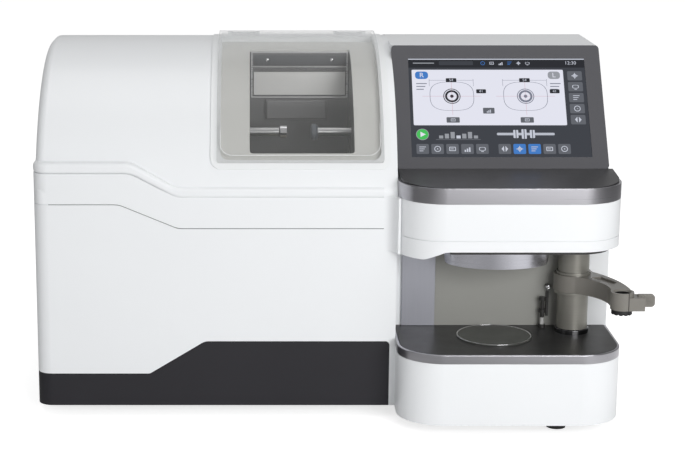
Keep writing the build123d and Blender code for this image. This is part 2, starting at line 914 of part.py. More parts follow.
# ------------------------------------------------------------------ lens carriage
carriage_right_end = carriage_right_x + carriage_arm
with BuildPart() as carriage_frame:
    for start in (carriage_left_x, carriage_right_x):
        with BuildSketch(Plane.YZ.offset(start)):
            with Locations((lens_y, lens_z)):
                Circle(lens_boss_radius)
            with Locations((pivot_y, lens_z)):
                Circle(pivot_boss_radius)
            with Locations(((lens_y + pivot_y) / 2, lens_z)):
                Rectangle(pivot_y - lens_y, carriage_bar_height)
        extrude(amount=carriage_arm)
    rod_x(carriage_left_x, carriage_right_end, pivot_y, lens_z, pivot_boss_radius)
    rod_x(
        carriage_left_x, carriage_right_end, pivot_y, lens_z, pivot_radius + shaft_clearance, Mode.SUBTRACT
    )
    rod_x(
        carriage_left_x, carriage_left_x + carriage_arm, lens_y, lens_z, shaft_radius + shaft_clearance,
        Mode.SUBTRACT,
    )
    rod_x(
        carriage_right_x, carriage_right_end, lens_y, lens_z, quill_radius + shaft_clearance, Mode.SUBTRACT
    )
carriage_frame.part.label = "carriage_frame"
export_step(carriage_frame.part, "parts/carriage_frame.step")

bracket_starts = (carriage_left_x - bracket_gap - bracket_thickness, carriage_right_end + bracket_gap)
with BuildPart() as carriage_brackets:
    for start in bracket_starts:
        block(
            start, start + bracket_thickness, pivot_y - bracket_half_width, pivot_y + bracket_half_width,
            foot_height + pan_thickness, lens_z,
        )
        rod_x(start, start + bracket_thickness, pivot_y, lens_z, bracket_crown)
        rod_x(
            start, start + bracket_thickness, pivot_y, lens_z, pivot_radius + shaft_clearance, Mode.SUBTRACT
        )
carriage_brackets.part.label = "carriage_brackets"
export_step(carriage_brackets.part, "parts/carriage_brackets.step")

with BuildPart() as carriage_axle:
    rod_x(bracket_starts[0], bracket_starts[1] + bracket_thickness, pivot_y, lens_z, pivot_radius)
carriage_axle.part.label = "carriage_axle"
export_step(carriage_axle.part, "parts/carriage_axle.step")

left_seal_x = chamber_left - tub_wall - seal_gap - seal_thickness
right_seal_x = chamber_right + tub_wall + seal_gap
with BuildPart() as shaft_seals:
    for start, bore in ((left_seal_x, shaft_radius), (right_seal_x, quill_radius)):
        block(
            start, start + seal_thickness, lens_y - seal_half_width, lens_y + seal_half_width,
            seal_low_z, seal_high_z,
        )
        rod_x(start, start + seal_thickness, lens_y, lens_z, bore + shaft_clearance, Mode.SUBTRACT)
shaft_seals.part.label = "shaft_seals"
export_step(shaft_seals.part, "parts/shaft_seals.step")

with BuildPart() as left_shaft:
    rod_x(left_shaft_end_x, chuck_face_x - chuck_length, lens_y, lens_z, shaft_radius)
left_shaft.part.label = "left_shaft"
export_step(left_shaft.part, "parts/left_shaft.step")

with BuildPart() as left_chuck:
    rod_x(chuck_face_x - chuck_length, chuck_face_x, lens_y, lens_z, chuck_radius)
    chamfer(left_chuck.faces().sort_by(Axis.X)[0].edges(), chuck_radius / 6)
    rod_x(chuck_face_x - chuck_length / 2, chuck_face_x, lens_y, lens_z, chuck_radius * 0.7, Mode.SUBTRACT)
left_chuck.part.label = "left_chuck"
export_step(left_chuck.part, "parts/left_chuck.step")

with BuildPart() as clamp_quill:
    rod_x(quill_left_x, quill_right_x, lens_y, lens_z, quill_radius)
    rod_x(quill_left_x, quill_right_x, lens_y, lens_z, shaft_radius + shaft_clearance, Mode.SUBTRACT)
clamp_quill.part.label = "clamp_quill"
export_step(clamp_quill.part, "parts/clamp_quill.step")

with BuildPart() as right_shaft:
    rod_x(pad_face_x + pad_length, right_shaft_end_x, lens_y, lens_z, shaft_radius)
right_shaft.part.label = "right_shaft"
export_step(right_shaft.part, "parts/right_shaft.step")

with BuildPart() as right_pad:
    rod_x(pad_face_x, pad_face_x + pad_length, lens_y, lens_z, pad_radius)
    chamfer(right_pad.faces().sort_by(Axis.X)[0].edges(), pad_length / 5)
    chamfer(right_pad.faces().sort_by(Axis.X)[-1].edges(), pad_length / 4)
right_pad.part.label = "right_pad"
export_step(right_pad.part, "parts/right_pad.step")

# ------------------------------------------------------------------ grinding spindle and motor
with BuildPart() as spindle_housing:
    rod_x(spindle_housing_left_x, chamber_left - tub_wall, wheel_y, wheel_z, spindle_housing_radius)
    rod_x(
        spindle_housing_left_x, chamber_left - tub_wall, wheel_y, wheel_z,
        spindle_radius + shaft_clearance, Mode.SUBTRACT,
    )
spindle_housing.part.label = "spindle_housing"
export_step(spindle_housing.part, "parts/spindle_housing.step")

with BuildPart() as wheel_spindle:
    rod_x(spindle_left_x, spindle_right_x, wheel_y, wheel_z, spindle_radius)
wheel_spindle.part.label = "wheel_spindle"
export_step(wheel_spindle.part, "parts/wheel_spindle.step")

with BuildPart() as grinding_wheels:
    start = wheel_left_x
    for width in wheel_widths:
        rod_x(start, start + width - wheel_gap, wheel_y, wheel_z, wheel_radius)
        rod_x(start, start + width - wheel_gap, wheel_y, wheel_z, spindle_radius, Mode.SUBTRACT)
        start += width
    groove_x = wheel_left_x + wheel_widths[0] + wheel_widths[1] / 2
    with BuildSketch(Plane.XZ.offset(-wheel_y)):
        with BuildLine():
            Polyline(
                (groove_x - bevel_groove_half_width, wheel_z + wheel_radius + 1),
                (groove_x - bevel_groove_half_width, wheel_z + wheel_radius),
                (groove_x, wheel_z + wheel_radius - bevel_groove_depth),
                (groove_x + bevel_groove_half_width, wheel_z + wheel_radius),
                (groove_x + bevel_groove_half_width, wheel_z + wheel_radius + 1),
                close=True,
            )
        make_face()
    revolve(axis=Axis((0, wheel_y, wheel_z), (1, 0, 0)), mode=Mode.SUBTRACT)
grinding_wheels.part.label = "grinding_wheels"
export_step(grinding_wheels.part, "parts/grinding_wheels.step")


def pulley(z, radius, bore):
    """Flanged belt pulley on an X axis at height z; bore is the shaft it sits on."""
    right_x = pulley_left_x + pulley_width
    rod_x(pulley_left_x, right_x, wheel_y, z, radius)
    for start in (pulley_left_x, right_x - pulley_flange):
        rod_x(start, start + pulley_flange, wheel_y, z, radius + pulley_flange_height)
    if bore:
        rod_x(pulley_left_x, right_x, wheel_y, z, bore, Mode.SUBTRACT)


with BuildPart() as spindle_pulley:
    pulley(wheel_z, spindle_pulley_radius, spindle_radius)
spindle_pulley.part.label = "spindle_pulley"
export_step(spindle_pulley.part, "parts/spindle_pulley.step")

with BuildPart() as motor:
    rod_x(motor_left_x, motor_right_x, wheel_y, motor_z, motor_radius)
    block(
        motor_left_x + motor_bore_depth, motor_right_x - motor_bore_depth,
        wheel_y - motor_foot_half_width, wheel_y + motor_foot_half_width,
        foot_height + pan_thickness, motor_z,
    )
    rod_x(
        motor_left_x, motor_left_x + motor_bore_depth, wheel_y, motor_z,
        motor_shaft_radius + shaft_clearance, Mode.SUBTRACT,
    )
motor.part.label = "motor"
export_step(motor.part, "parts/motor.step")

with BuildPart() as motor_pulley:
    pulley(motor_z, motor_pulley_radius, 0)
    rod_x(
        pulley_left_x, motor_left_x + motor_bore_depth - 1, wheel_y, motor_z, motor_shaft_radius
    )
motor_pulley.part.label = "motor_pulley"
export_step(motor_pulley.part, "parts/motor_pulley.step")

belt_left_x = pulley_left_x + pulley_flange + belt_side_gap
belt_width = pulley_width - 2 * (pulley_flange + belt_side_gap)
with BuildPart() as drive_belt:
    for grow, mode in ((belt_gap + belt_thickness, Mode.ADD), (belt_gap, Mode.SUBTRACT)):
        with BuildSketch(Plane.YZ.offset(belt_left_x)):
            with Locations((wheel_y, wheel_z)):
                Circle(spindle_pulley_radius + grow)
            with Locations((wheel_y, motor_z)):
                Circle(motor_pulley_radius + grow)
            make_hull()
        extrude(amount=belt_width, mode=mode)
drive_belt.part.label = "drive_belt"
export_step(drive_belt.part, "parts/drive_belt.step")

# ------------------------------------------------------------------ rear services
with BuildPart() as rear_panel:
    block(
        service_left - service_overlap, service_right + service_overlap, case_rear, panel_face_y,
        service_low_z - service_overlap, service_high_z + service_overlap,
    )
    with BuildSketch(Plane.XZ.offset(-panel_face_y)):
        with Locations((fan_x, fan_z)):
            with GridLocations(0, vent_pitch, 1, vent_slots):
                SlotOverall(vent_length, vent_width)
        with Locations((inlet_x, inlet_z)):
            Rectangle(inlet_width - 2 * inlet_rim, inlet_height - 2 * inlet_wall)
        with Locations((rocker_x, inlet_z)):
            Rectangle(switch_frame_width - 2 * inlet_wall, switch_frame_height - 2 * inlet_wall)
        for step in (0, 1):
            with Locations((spigot_x + step * spigot_pitch - spigot_pitch / 2, inlet_z)):
                Circle(spigot_radius)
    extrude(amount=panel_thickness, mode=Mode.SUBTRACT)
rear_panel.part.label = "rear_panel"
export_step(rear_panel.part, "parts/rear_panel.step")

inlet_face_y = panel_face_y + inlet_flange
with BuildPart() as power_inlet:
    block(
        inlet_x - inlet_width / 2, inlet_x + inlet_width / 2, panel_face_y, inlet_face_y,
        inlet_z - inlet_height / 2, inlet_z + inlet_height / 2,
    )
    block(
        inlet_x - inlet_width / 2 + inlet_rim, inlet_x + inlet_width / 2 - inlet_rim,
        inlet_face_y - inlet_depth, inlet_face_y, inlet_z - inlet_height / 2 + inlet_wall,
        inlet_z + inlet_height / 2 - inlet_wall,
    )
    block(
        inlet_x - socket_width / 2, inlet_x + socket_width / 2, inlet_face_y - socket_depth,
        inlet_face_y + cut_over, inlet_z - socket_height / 2, inlet_z + socket_height / 2,
        mode=Mode.SUBTRACT,
    )
    for dx, dz in socket_pins:
        block(
            inlet_x + dx - socket_pin_half_width, inlet_x + dx + socket_pin_half_width,
            inlet_face_y - socket_depth, inlet_face_y - socket_depth + socket_pin_length,
            inlet_z + dz - socket_pin_half_height, inlet_z + dz + socket_pin_half_height,
        )
    block(
        rocker_x - switch_frame_width / 2, rocker_x + switch_frame_width / 2, panel_face_y,
        inlet_face_y, inlet_z - switch_frame_height / 2, inlet_z + switch_frame_height / 2,
    )
    block(
        rocker_x - switch_frame_width / 2 + inlet_wall, rocker_x + switch_frame_width / 2 - inlet_wall,
        inlet_face_y - inlet_depth, inlet_face_y, inlet_z - switch_frame_height / 2 + inlet_wall,
        inlet_z + switch_frame_height / 2 - inlet_wall,
    )
    block(
        rocker_x - rocker_width / 2 - rocker_gap, rocker_x + rocker_width / 2 + rocker_gap,
        inlet_face_y - inlet_depth + inlet_wall, inlet_face_y + cut_over,
        inlet_z - rocker_radius - rocker_gap, inlet_z + rocker_radius + rocker_gap, mode=Mode.SUBTRACT,
    )
power_inlet.part.label = "power_inlet"
export_step(power_inlet.part, "parts/power_inlet.step")

rocker_y = inlet_face_y - rocker_setback
with BuildPart() as power_rocker:
    rod_x(rocker_x - rocker_width / 2, rocker_x + rocker_width / 2, rocker_y, inlet_z, rocker_radius)
    rocker_plane = Plane((rocker_x - rocker_width / 2, rocker_y, inlet_z), x_dir=(0, 1, 0), z_dir=(1, 0, 0))
    with BuildSketch(rocker_plane.rotated((0, 0, rocker_rest))):
        with BuildLine():
            Polyline(
                (rocker_radius - inlet_wall, 0),
                (rocker_radius - inlet_wall + rocker_dish, -rocker_radius),
                (rocker_radius - inlet_wall + rocker_dish, rocker_radius),
                close=True,
            )
        make_face()
    extrude(amount=rocker_width, mode=Mode.SUBTRACT)
power_rocker.part.label = "power_rocker"
export_step(power_rocker.part, "parts/power_rocker.step")

fan_front_y = case_rear - fan_depth
with BuildPart() as fan_frame:
    block(
        fan_x - fan_size / 2, fan_x + fan_size / 2, fan_front_y, case_rear,
        fan_z - fan_size / 2, fan_z + fan_size / 2,
    )
    rod_y(fan_front_y, case_rear, fan_x, fan_z, fan_bore, Mode.SUBTRACT)
    spoke_length = 2 * fan_bore + cut_over
    for width, height in ((spoke_length, fan_spoke_width), (fan_spoke_width, spoke_length)):
        block(
            fan_x - width / 2, fan_x + width / 2, fan_front_y, fan_front_y + fan_spoke_depth,
            fan_z - height / 2, fan_z + height / 2,
        )
    rod_y(fan_front_y, fan_front_y + fan_spoke_depth, fan_x, fan_z, fan_hub_radius)
    rod_y(fan_front_y, case_rear - fan_pin_setback, fan_x, fan_z, fan_pin_radius)
fan_frame.part.label = "fan_frame"
export_step(fan_frame.part, "parts/fan_frame.step")

fan_rotor_y0 = fan_front_y + fan_spoke_depth + fan_rotor_gap
fan_rotor_y1 = case_rear - fan_rotor_setback
fan_rotor_middle_y = (fan_rotor_y0 + fan_rotor_y1) / 2
fan_blade_x = (fan_hub_radius + fan_tip_radius) / 2 - fan_blade_sink
with BuildPart() as fan_rotor:
    rod_y(fan_rotor_y0, fan_rotor_y1, fan_x, fan_z, fan_hub_radius)
    blade_middle = Plane((fan_x, fan_rotor_middle_y, fan_z), x_dir=(1, 0, 0), z_dir=(0, -1, 0))
    with Locations(blade_middle):
        with PolarLocations(0, fan_blades):
            with Locations(Location((fan_blade_x, 0, 0), (fan_blade_pitch, 0, 0))):
                Box(fan_tip_radius - fan_hub_radius, fan_blade_width, fan_blade_thickness)
    rod_y(fan_rotor_y0, fan_rotor_y1, fan_x, fan_z, fan_pin_radius + shaft_clearance, Mode.SUBTRACT)
fan_rotor.part.label = "fan_rotor"
export_step(fan_rotor.part, "parts/fan_rotor.step")

with BuildPart() as hose_spigots:
    for step in (0, 1):
        place = spigot_x + step * spigot_pitch - spigot_pitch / 2
        rod_y(panel_face_y, panel_face_y + wall, place, inlet_z, spigot_flange_radius)
        rod_y(case_rear - wall, panel_face_y + spigot_reach, place, inlet_z, spigot_radius)
        rod_y(case_rear - wall, panel_face_y + spigot_reach, place, inlet_z, spigot_bore, Mode.SUBTRACT)
hose_spigots.part.label = "hose_spigots"
export_step(hose_spigots.part, "parts/hose_spigots.step")

# ------------------------------------------------------------------ module shells
tower_outer = tower_block(0.0)
tower_core = tower_block(wall)
with BuildPart() as module_housing:
    add(tower_outer)
    add(tower_core, mode=Mode.SUBTRACT)
    add(base_pan.part, mode=Mode.SUBTRACT)
module_housing.part.label = "module_housing"
export_step(module_housing.part, "parts/module_housing.step")


def cove():
    """Concave fillet between the case's front and the head's left wall."""
    with BuildSketch(Plane.XY, mode=Mode.PRIVATE) as corner:
        with Locations((split_x - cove_radius / 2 + wall / 2, case_front - cove_radius / 2)):
            Rectangle(cove_radius + wall, cove_radius)
        with Locations((split_x - cove_radius, case_front - cove_radius)):
            Circle(cove_radius, mode=Mode.SUBTRACT)
        with Locations((split_x - cove_radius, case_front - cove_radius)):
            Rectangle(cove_radius * 2, 0.001, mode=Mode.SUBTRACT)
    return corner.sketch


with BuildPart() as head_shell:
    with BuildSketch(Plane.XY.offset(head_seam_z)):
        add(pod_outline(head_front, head_corner, 0))
        add(pod_outline(head_front, head_corner, wall), mode=Mode.SUBTRACT)
        with Locations(((split_x + module_right) / 2, tower_front - wall / 2)):
            Rectangle(module_right - split_x, wall)
        add(cove())
    extrude(amount=head_band_low_z - head_seam_z)
head_shell.part.label = "head_shell"
export_step(head_shell.part, "parts/head_shell.step")

lobe_area = under_step(
    head_lobe_z, head_low_z, lobe_slope_start, lobe_slope_end, lobe_bend, -far
)
with BuildPart() as head_lower_cover:
    with BuildSketch(Plane.XY.offset(head_lobe_z)):
        add(pod_outline(head_front, head_corner, 0))
        add(cove())
    extrude(amount=head_seam_z - head_lobe_z)
    front_prism(lobe_area, -far, far, Mode.SUBTRACT)
    with BuildSketch(Plane.XY.offset(head_low_z + wall)):
        add(pod_outline(head_front, head_corner, wall))
    extrude(amount=head_seam_z - head_low_z, mode=Mode.SUBTRACT)
    with BuildSketch(Plane.XY.offset(head_seam_z - seam_groove)):
        add(pod_outline(head_front, head_corner, -wall))
        add(pod_outline(head_front, head_corner, seam_groove_depth), mode=Mode.SUBTRACT)
        with Locations((split_x, case_front)):
            Rectangle(4 * wall, 4 * cove_radius, mode=Mode.SUBTRACT)
    extrude(amount=seam_groove, mode=Mode.SUBTRACT)
head_lower_cover.part.label = "head_lower_cover"
export_step(head_lower_cover.part, "parts/head_lower_cover.step")

with BuildPart() as head_band:
    with BuildSketch(Plane.XY.offset(head_band_low_z)):
        add(pod_outline(head_front, head_corner, 0))
        add(pod_outline(head_front, head_corner, band_width), mode=Mode.SUBTRACT)
    extrude(amount=head_band_high_z - head_band_low_z)
head_band.part.label = "head_band"
export_step(head_band.part, "parts/head_band.step")

with BuildPart() as shelf_panel:
    with BuildSketch(Plane.XY.offset(head_band_low_z)):
        add(pod_outline(head_front, head_corner, band_width))
    extrude(amount=bezel_foot_z - head_band_low_z)
    with BuildSketch(Plane.YZ.offset(split_x)):
        with BuildLine():
            Polyline(
                (head_front, head_band_low_z),
                (head_front, head_band_high_z),
                (bezel_foot_y, bezel_foot_z),
                (bezel_foot_y + bezel_back_y, bezel_foot_z + bezel_back_z),
                (tower_front, bezel_foot_z + bezel_back_z),
                (tower_front, head_band_high_z - 2 * wall),
                (head_front + 2 * head_corner, head_band_high_z - 2 * wall),
                (head_front + head_corner / 2, head_band_low_z),
                close=True,
            )
        make_face()
    extrude(amount=module_right - split_x, mode=Mode.INTERSECT)
shelf_panel.part.label = "shelf_panel"
export_step(shelf_panel.part, "parts/shelf_panel.step")

# ------------------------------------------------------------------ screen
bezel_plane = Plane(
    (split_x, bezel_foot_y, bezel_foot_z),
    x_dir=(1, 0, 0),
    z_dir=(0, -math.cos(tilt), math.sin(tilt)),
)
screen_centre = (screen_left_border + screen_width / 2, screen_bottom + screen_height / 2)
glass_width = screen_width + 2 * glass_overlap
glass_height = screen_height + 2 * glass_overlap


def screen_slab(width, height, depth, thickness, mode=Mode.ADD):
    """Plate centred on the screen, its front face depth behind the bezel's face."""
    with BuildSketch(bezel_plane.offset(-depth)) as section:
        with Locations(screen_centre):
            Rectangle(width, height)
    extrude(section.sketch, amount=-thickness, mode=mode)


with BuildPart() as display_bezel:
    with BuildSketch(bezel_plane) as bezel_face:
        with Locations((bezel_width / 2, bezel_length / 2)):
            Rectangle(bezel_width, bezel_length)
        fillet(bezel_face.vertices().group_by(Axis.Z)[-1], bezel_corner)
    extrude(amount=-bezel_thickness)
    screen_slab(screen_width, screen_height, 0, bezel_thickness, Mode.SUBTRACT)
    screen_slab(
        glass_width + 2 * glass_clearance, glass_height + 2 * glass_clearance, glass_step,
        bezel_thickness, Mode.SUBTRACT,
    )
display_bezel.part.label = "display_bezel"
export_step(display_bezel.part, "parts/display_bezel.step")

with BuildPart() as touch_panel:
    screen_slab(glass_width, glass_height, glass_step, glass_thickness)
touch_panel.part.label = "touch_panel"
export_step(touch_panel.part, "parts/touch_panel.step")

with BuildPart() as lcd_module:
    screen_slab(glass_width, glass_height, glass_step + glass_thickness, lcd_thickness)
lcd_module.part.label = "lcd_module"
export_step(lcd_module.part, "parts/lcd_module.step")

# ------------------------------------------------------------------ base and table
with BuildPart() as base_shell:
    with BuildSketch(Plane.XY.offset(foot_height)):
        add(pod_outline(base_front, base_corner, 0))
        add(pod_outline(base_front, base_corner, wall), mode=Mode.SUBTRACT)
    extrude(amount=base_top_z - foot_height - wall)
    with BuildSketch(Plane.XY.offset(base_top_z - wall)):
        add(pod_outline(base_front, base_corner, 0))
    extrude(amount=wall)
    add(base_pan.part, mode=Mode.SUBTRACT)
base_shell.part.label = "base_shell"
export_step(base_shell.part, "parts/base_shell.step")

with BuildPart() as table_band:
    with BuildSketch(Plane.XY.offset(base_top_z)):
        add(pod_outline(base_front, base_corner, 0))
        add(pod_outline(base_front, base_corner, band_width), mode=Mode.SUBTRACT)
    extrude(amount=table_z - base_top_z)
    chamfer(table_band.faces().sort_by(Axis.Z)[-1].outer_wire().edges(), 0.8)
table_band.part.label = "table_band"
export_step(table_band.part, "parts/table_band.step")

with BuildPart() as table_plate:
    with BuildSketch(Plane.XY.offset(base_top_z)):
        add(pod_outline(base_front, base_corner, band_width))
    extrude(amount=table_z - base_top_z)
    rod_z(table_z - disc_seat, table_z + 1, camera_x, camera_y, disc_radius, Mode.SUBTRACT)
table_plate.part.label = "table_plate"
export_step(table_plate.part, "parts/table_plate.step")

with BuildPart() as light_disc:
    rod_z(table_z - disc_seat, table_z + disc_proud, camera_x, camera_y, disc_radius)
    chamfer(light_disc.faces().sort_by(Axis.Z)[-1].edges(), disc_proud / 2)
light_disc.part.label = "light_disc"
export_step(light_disc.part, "parts/light_disc.step")

# ------------------------------------------------------------------ bay linings and camera
with BuildPart() as bay_side_panel:
    block(
        side_panel_left, side_panel_right, tower_front - side_panel_depth, tower_front,
        table_z, head_lobe_z,
    )
bay_side_panel.part.label = "bay_side_panel"
export_step(bay_side_panel.part, "parts/bay_side_panel.step")

with BuildPart() as bay_back_panel:
    block(
        side_panel_right, back_panel_right, tower_front - back_panel_depth, tower_front,
        table_z, head_lobe_z,
    )
bay_back_panel.part.label = "bay_back_panel"
export_step(bay_back_panel.part, "parts/bay_back_panel.step")

with BuildPart() as ceiling_plate:
    with BuildSketch(Plane.XY.offset(ceiling_low_z)):
        add(pod_outline(head_front, head_corner, ceiling_inset))
        with Locations(((split_x + ceiling_left) / 2, (head_front + tower_front) / 2)):
            Rectangle(ceiling_left - split_x, far, mode=Mode.SUBTRACT)
    extrude(amount=head_low_z - ceiling_low_z)
ceiling_plate.part.label = "ceiling_plate"
export_step(ceiling_plate.part, "parts/ceiling_plate.step")

with BuildPart() as camera_hood:
    for inset, mode in ((0.0, Mode.ADD), (camera_wall, Mode.SUBTRACT)):
        for height, grow in ((camera_low_z, -inset), (ceiling_low_z, camera_flare - inset)):
            with BuildSketch(Plane.XY.offset(height)):
                with Locations((camera_x, camera_y)):
                    Ellipse(camera_half_width + grow, camera_half_depth + grow)
        loft(mode=mode)
camera_hood.part.label = "camera_hood"
export_step(camera_hood.part, "parts/camera_hood.step")

ring_inset = camera_wall + ring_gap
with BuildPart() as led_ring:
    with BuildSketch(Plane.XY.offset(ring_z)):
        with Locations((camera_x, camera_y)):
            Ellipse(camera_half_width - ring_inset, camera_half_depth - ring_inset)
            Circle(ring_bore, mode=Mode.SUBTRACT)
    extrude(amount=ring_thickness)
led_ring.part.label = "led_ring"
export_step(led_ring.part, "parts/led_ring.step")

with BuildPart() as camera_lens:
    rod_z(ceiling_low_z - camera_lens_length, ceiling_low_z, camera_x, camera_y, camera_lens_radius)
    rod_z(
        ring_z + ring_thickness / 2, ceiling_low_z, camera_x, camera_y, camera_boss_radius
    )
camera_lens.part.label = "camera_lens"
export_step(camera_lens.part, "parts/camera_lens.step")

# ------------------------------------------------------------------ column and blocking arm
with BuildPart() as column:
    rod_z(table_z, ceiling_low_z, column_x, column_y, column_radius)
column.part.label = "column"
export_step(column.part, "parts/column.step")

with BuildPart() as column_ring:
    rod_z(table_z, table_z + column_ring_height, column_x, column_y, column_ring_radius)
    chamfer(column_ring.faces().sort_by(Axis.Z)[-1].edges(), column_ring_edge)
    rod_z(table_z, table_z + column_ring_height, column_x, column_y, column_radius, Mode.SUBTRACT)
column_ring.part.label = "column_ring"
export_step(column_ring.part, "parts/column_ring.step")

with BuildPart() as stop_post:
    rod_z(table_z, post_high_z, post_x, post_y, post_radius)
    for low in (table_z, (table_z + post_high_z) / 2, post_high_z - post_collar_height):
        rod_z(low, low + post_collar_height, post_x, post_y, post_collar_radius)
    lining_y = tower_front - back_panel_depth
    block(
        guide_x - guide_width / 2, guide_x + guide_width / 2, lining_y - guide_depth, lining_y,
        guide_low_z, guide_high_z,
    )
    rod_y(lining_y - knob_length, lining_y, guide_x, knob_z, knob_radius)
stop_post.part.label = "stop_post"
export_step(stop_post.part, "parts/stop_post.step")

with BuildPart() as slide_bush:
    rod_z(bush_low_z, bush_high_z, column_x, column_y, bush_radius)
    rod_z(bush_low_z, bush_low_z + bush_flange, column_x, column_y, bush_flange_radius)
    rod_z(bush_low_z, bush_high_z, column_x, column_y, column_radius + arm_clearance, Mode.SUBTRACT)
slide_bush.part.label = "slide_bush"
export_step(slide_bush.part, "parts/slide_bush.step")

arm_plane = Plane(
    (column_x, column_y, arm_low_z),
    x_dir=(math.cos(arm_turn), math.sin(arm_turn), 0),
    z_dir=(0, 0, 1),
)
arm_height = arm_high_z - arm_low_z
arm_bow = arm_length * arm_bow_share
arm_outer_end = (arm_length - arm_outer_back, arm_outer_half)
arm_inner_end = (arm_length - arm_inner_back, -arm_inner_half)
with BuildPart() as blocking_arm:
    with BuildSketch(arm_plane):
        with BuildLine():
            ThreePointArc(arm_outer_start, (arm_bow, arm_outer_bow), arm_outer_end)
            ThreePointArc(arm_inner_start, (arm_bow + arm_inner_shift, arm_inner_bow), arm_inner_end)
            Line(arm_outer_start, arm_inner_start)
            Line(arm_outer_end, arm_inner_end)
        make_face()
        Circle(hub_radius)
        with Locations((arm_length, 0)):
            Circle(tip_radius)
    extrude(amount=arm_height)
    block(
        tip_x, clamp_right, clamp_front_y, clamp_rear_y, arm_low_z, arm_high_z - clamp_top_drop
    )
    with BuildSketch(arm_plane.offset(arm_height)) as pocket:
        with BuildLine():
            Polyline(*pocket_points, close=True)
        make_face()
        fillet(pocket.vertices(), pocket_corner)
    extrude(amount=-pocket_depth, mode=Mode.SUBTRACT)
    rod_z(
        arm_low_z, arm_high_z, column_x, column_y, bush_radius + arm_clearance, Mode.SUBTRACT
    )
    rod_z(arm_low_z, arm_high_z, tip_x, tip_y, tip_bore, Mode.SUBTRACT)
    bore_mouth = blocking_arm.faces().sort_by(Axis.Z)[-1].inner_wires().edges().filter_by(
        lambda edge: abs(edge.radius - tip_bore) < 0.01 if edge.geom_type == GeomType.CIRCLE else False
    )
    chamfer(bore_mouth, tip_chamfer)
    block(
        tip_x + slit_offset, tip_x + slit_offset + slit_width, tip_y - 2 * tip_radius, tip_y,
        arm_low_z, arm_high_z, mode=Mode.SUBTRACT,
    )
    block(
        clip_pin_x - clip_thickness / 2 - clip_gap, clip_right,
        clip_pin_y - clip_thickness / 2 - clip_gap,
        clip_pin_y + clip_thickness / 2 + clip_swing_room, clip_low_z, arm_high_z + 1,
        mode=Mode.SUBTRACT,
    )
    rod_z(
        arm_low_z, clip_low_z, clip_pin_x, clip_pin_y, clip_pin_radius + shaft_clearance, Mode.SUBTRACT
    )
blocking_arm.part.label = "blocking_arm"
export_step(blocking_arm.part, "parts/blocking_arm.step")

with BuildPart() as block_holder:
    rod_z(arm_low_z - holder_drop, arm_low_z, tip_x, tip_y, holder_radius)
    rod_z(arm_low_z, holder_top_z, tip_x, tip_y, tip_bore - holder_clearance)
    rod_z(arm_low_z - holder_drop, holder_top_z, tip_x, tip_y, holder_bore, Mode.SUBTRACT)
    with BuildSketch(Plane.XY.offset(arm_low_z - holder_drop)):
        with Locations((tip_x, tip_y)):
            with PolarLocations(holder_radius, holder_teeth):
                Rectangle(3 * holder_tooth_width, holder_tooth_width)
    extrude(amount=holder_tooth_depth, mode=Mode.SUBTRACT)
block_holder.part.label = "block_holder"
export_step(block_holder.part, "parts/block_holder.step")

with BuildPart() as thumb_clip:
    rod_z(clip_low_z, clip_high_z, clip_pin_x, clip_pin_y, clip_thickness / 2)
    block(
        clip_pin_x, clip_right, clip_pin_y - clip_thickness / 2, clip_pin_y + clip_thickness / 2,
        clip_low_z, clip_high_z,
    )
    fillet(thumb_clip.edges().filter_by(Axis.Y).sort_by(Axis.X)[-2:], clip_tab_corner)
    rod_z(arm_low_z + 1, clip_low_z, clip_pin_x, clip_pin_y, clip_pin_radius)
thumb_clip.part.label = "thumb_clip"
export_step(thumb_clip.part, "parts/thumb_clip.step")
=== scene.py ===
import math

import bpy
import numpy as np
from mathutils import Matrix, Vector


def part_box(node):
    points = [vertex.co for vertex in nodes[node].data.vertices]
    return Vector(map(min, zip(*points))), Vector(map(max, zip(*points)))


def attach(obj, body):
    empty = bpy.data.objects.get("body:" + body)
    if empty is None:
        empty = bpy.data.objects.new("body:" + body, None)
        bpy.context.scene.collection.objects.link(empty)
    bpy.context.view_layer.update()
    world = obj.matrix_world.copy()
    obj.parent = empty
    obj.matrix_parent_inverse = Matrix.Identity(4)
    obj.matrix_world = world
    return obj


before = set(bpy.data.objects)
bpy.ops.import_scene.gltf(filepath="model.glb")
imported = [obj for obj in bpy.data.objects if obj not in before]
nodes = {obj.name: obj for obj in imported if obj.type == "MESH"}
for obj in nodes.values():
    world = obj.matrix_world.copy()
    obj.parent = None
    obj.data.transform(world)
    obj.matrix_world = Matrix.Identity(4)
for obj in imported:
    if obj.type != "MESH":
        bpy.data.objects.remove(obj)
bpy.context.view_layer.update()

# Optical lens edger: finishes of its shells, the lit screen, and the small fittings that the
# construction leaves to this file. Metres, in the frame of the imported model.

MM = 0.001
BODY = "edger_body"


# ------------------------------------------------------------------ colours
def linear(red, green, blue):
    """Scene colour of an sRGB colour given as 0-255: c/12.92 below 0.04045, else ((c+0.055)/1.055)^2.4."""
    srgb = np.array((red, green, blue)) / 255.0
    curved = np.where(srgb <= 0.04045, srgb / 12.92, ((srgb + 0.055) / 1.055) ** 2.4)
    return (*curved.tolist(), 1.0)


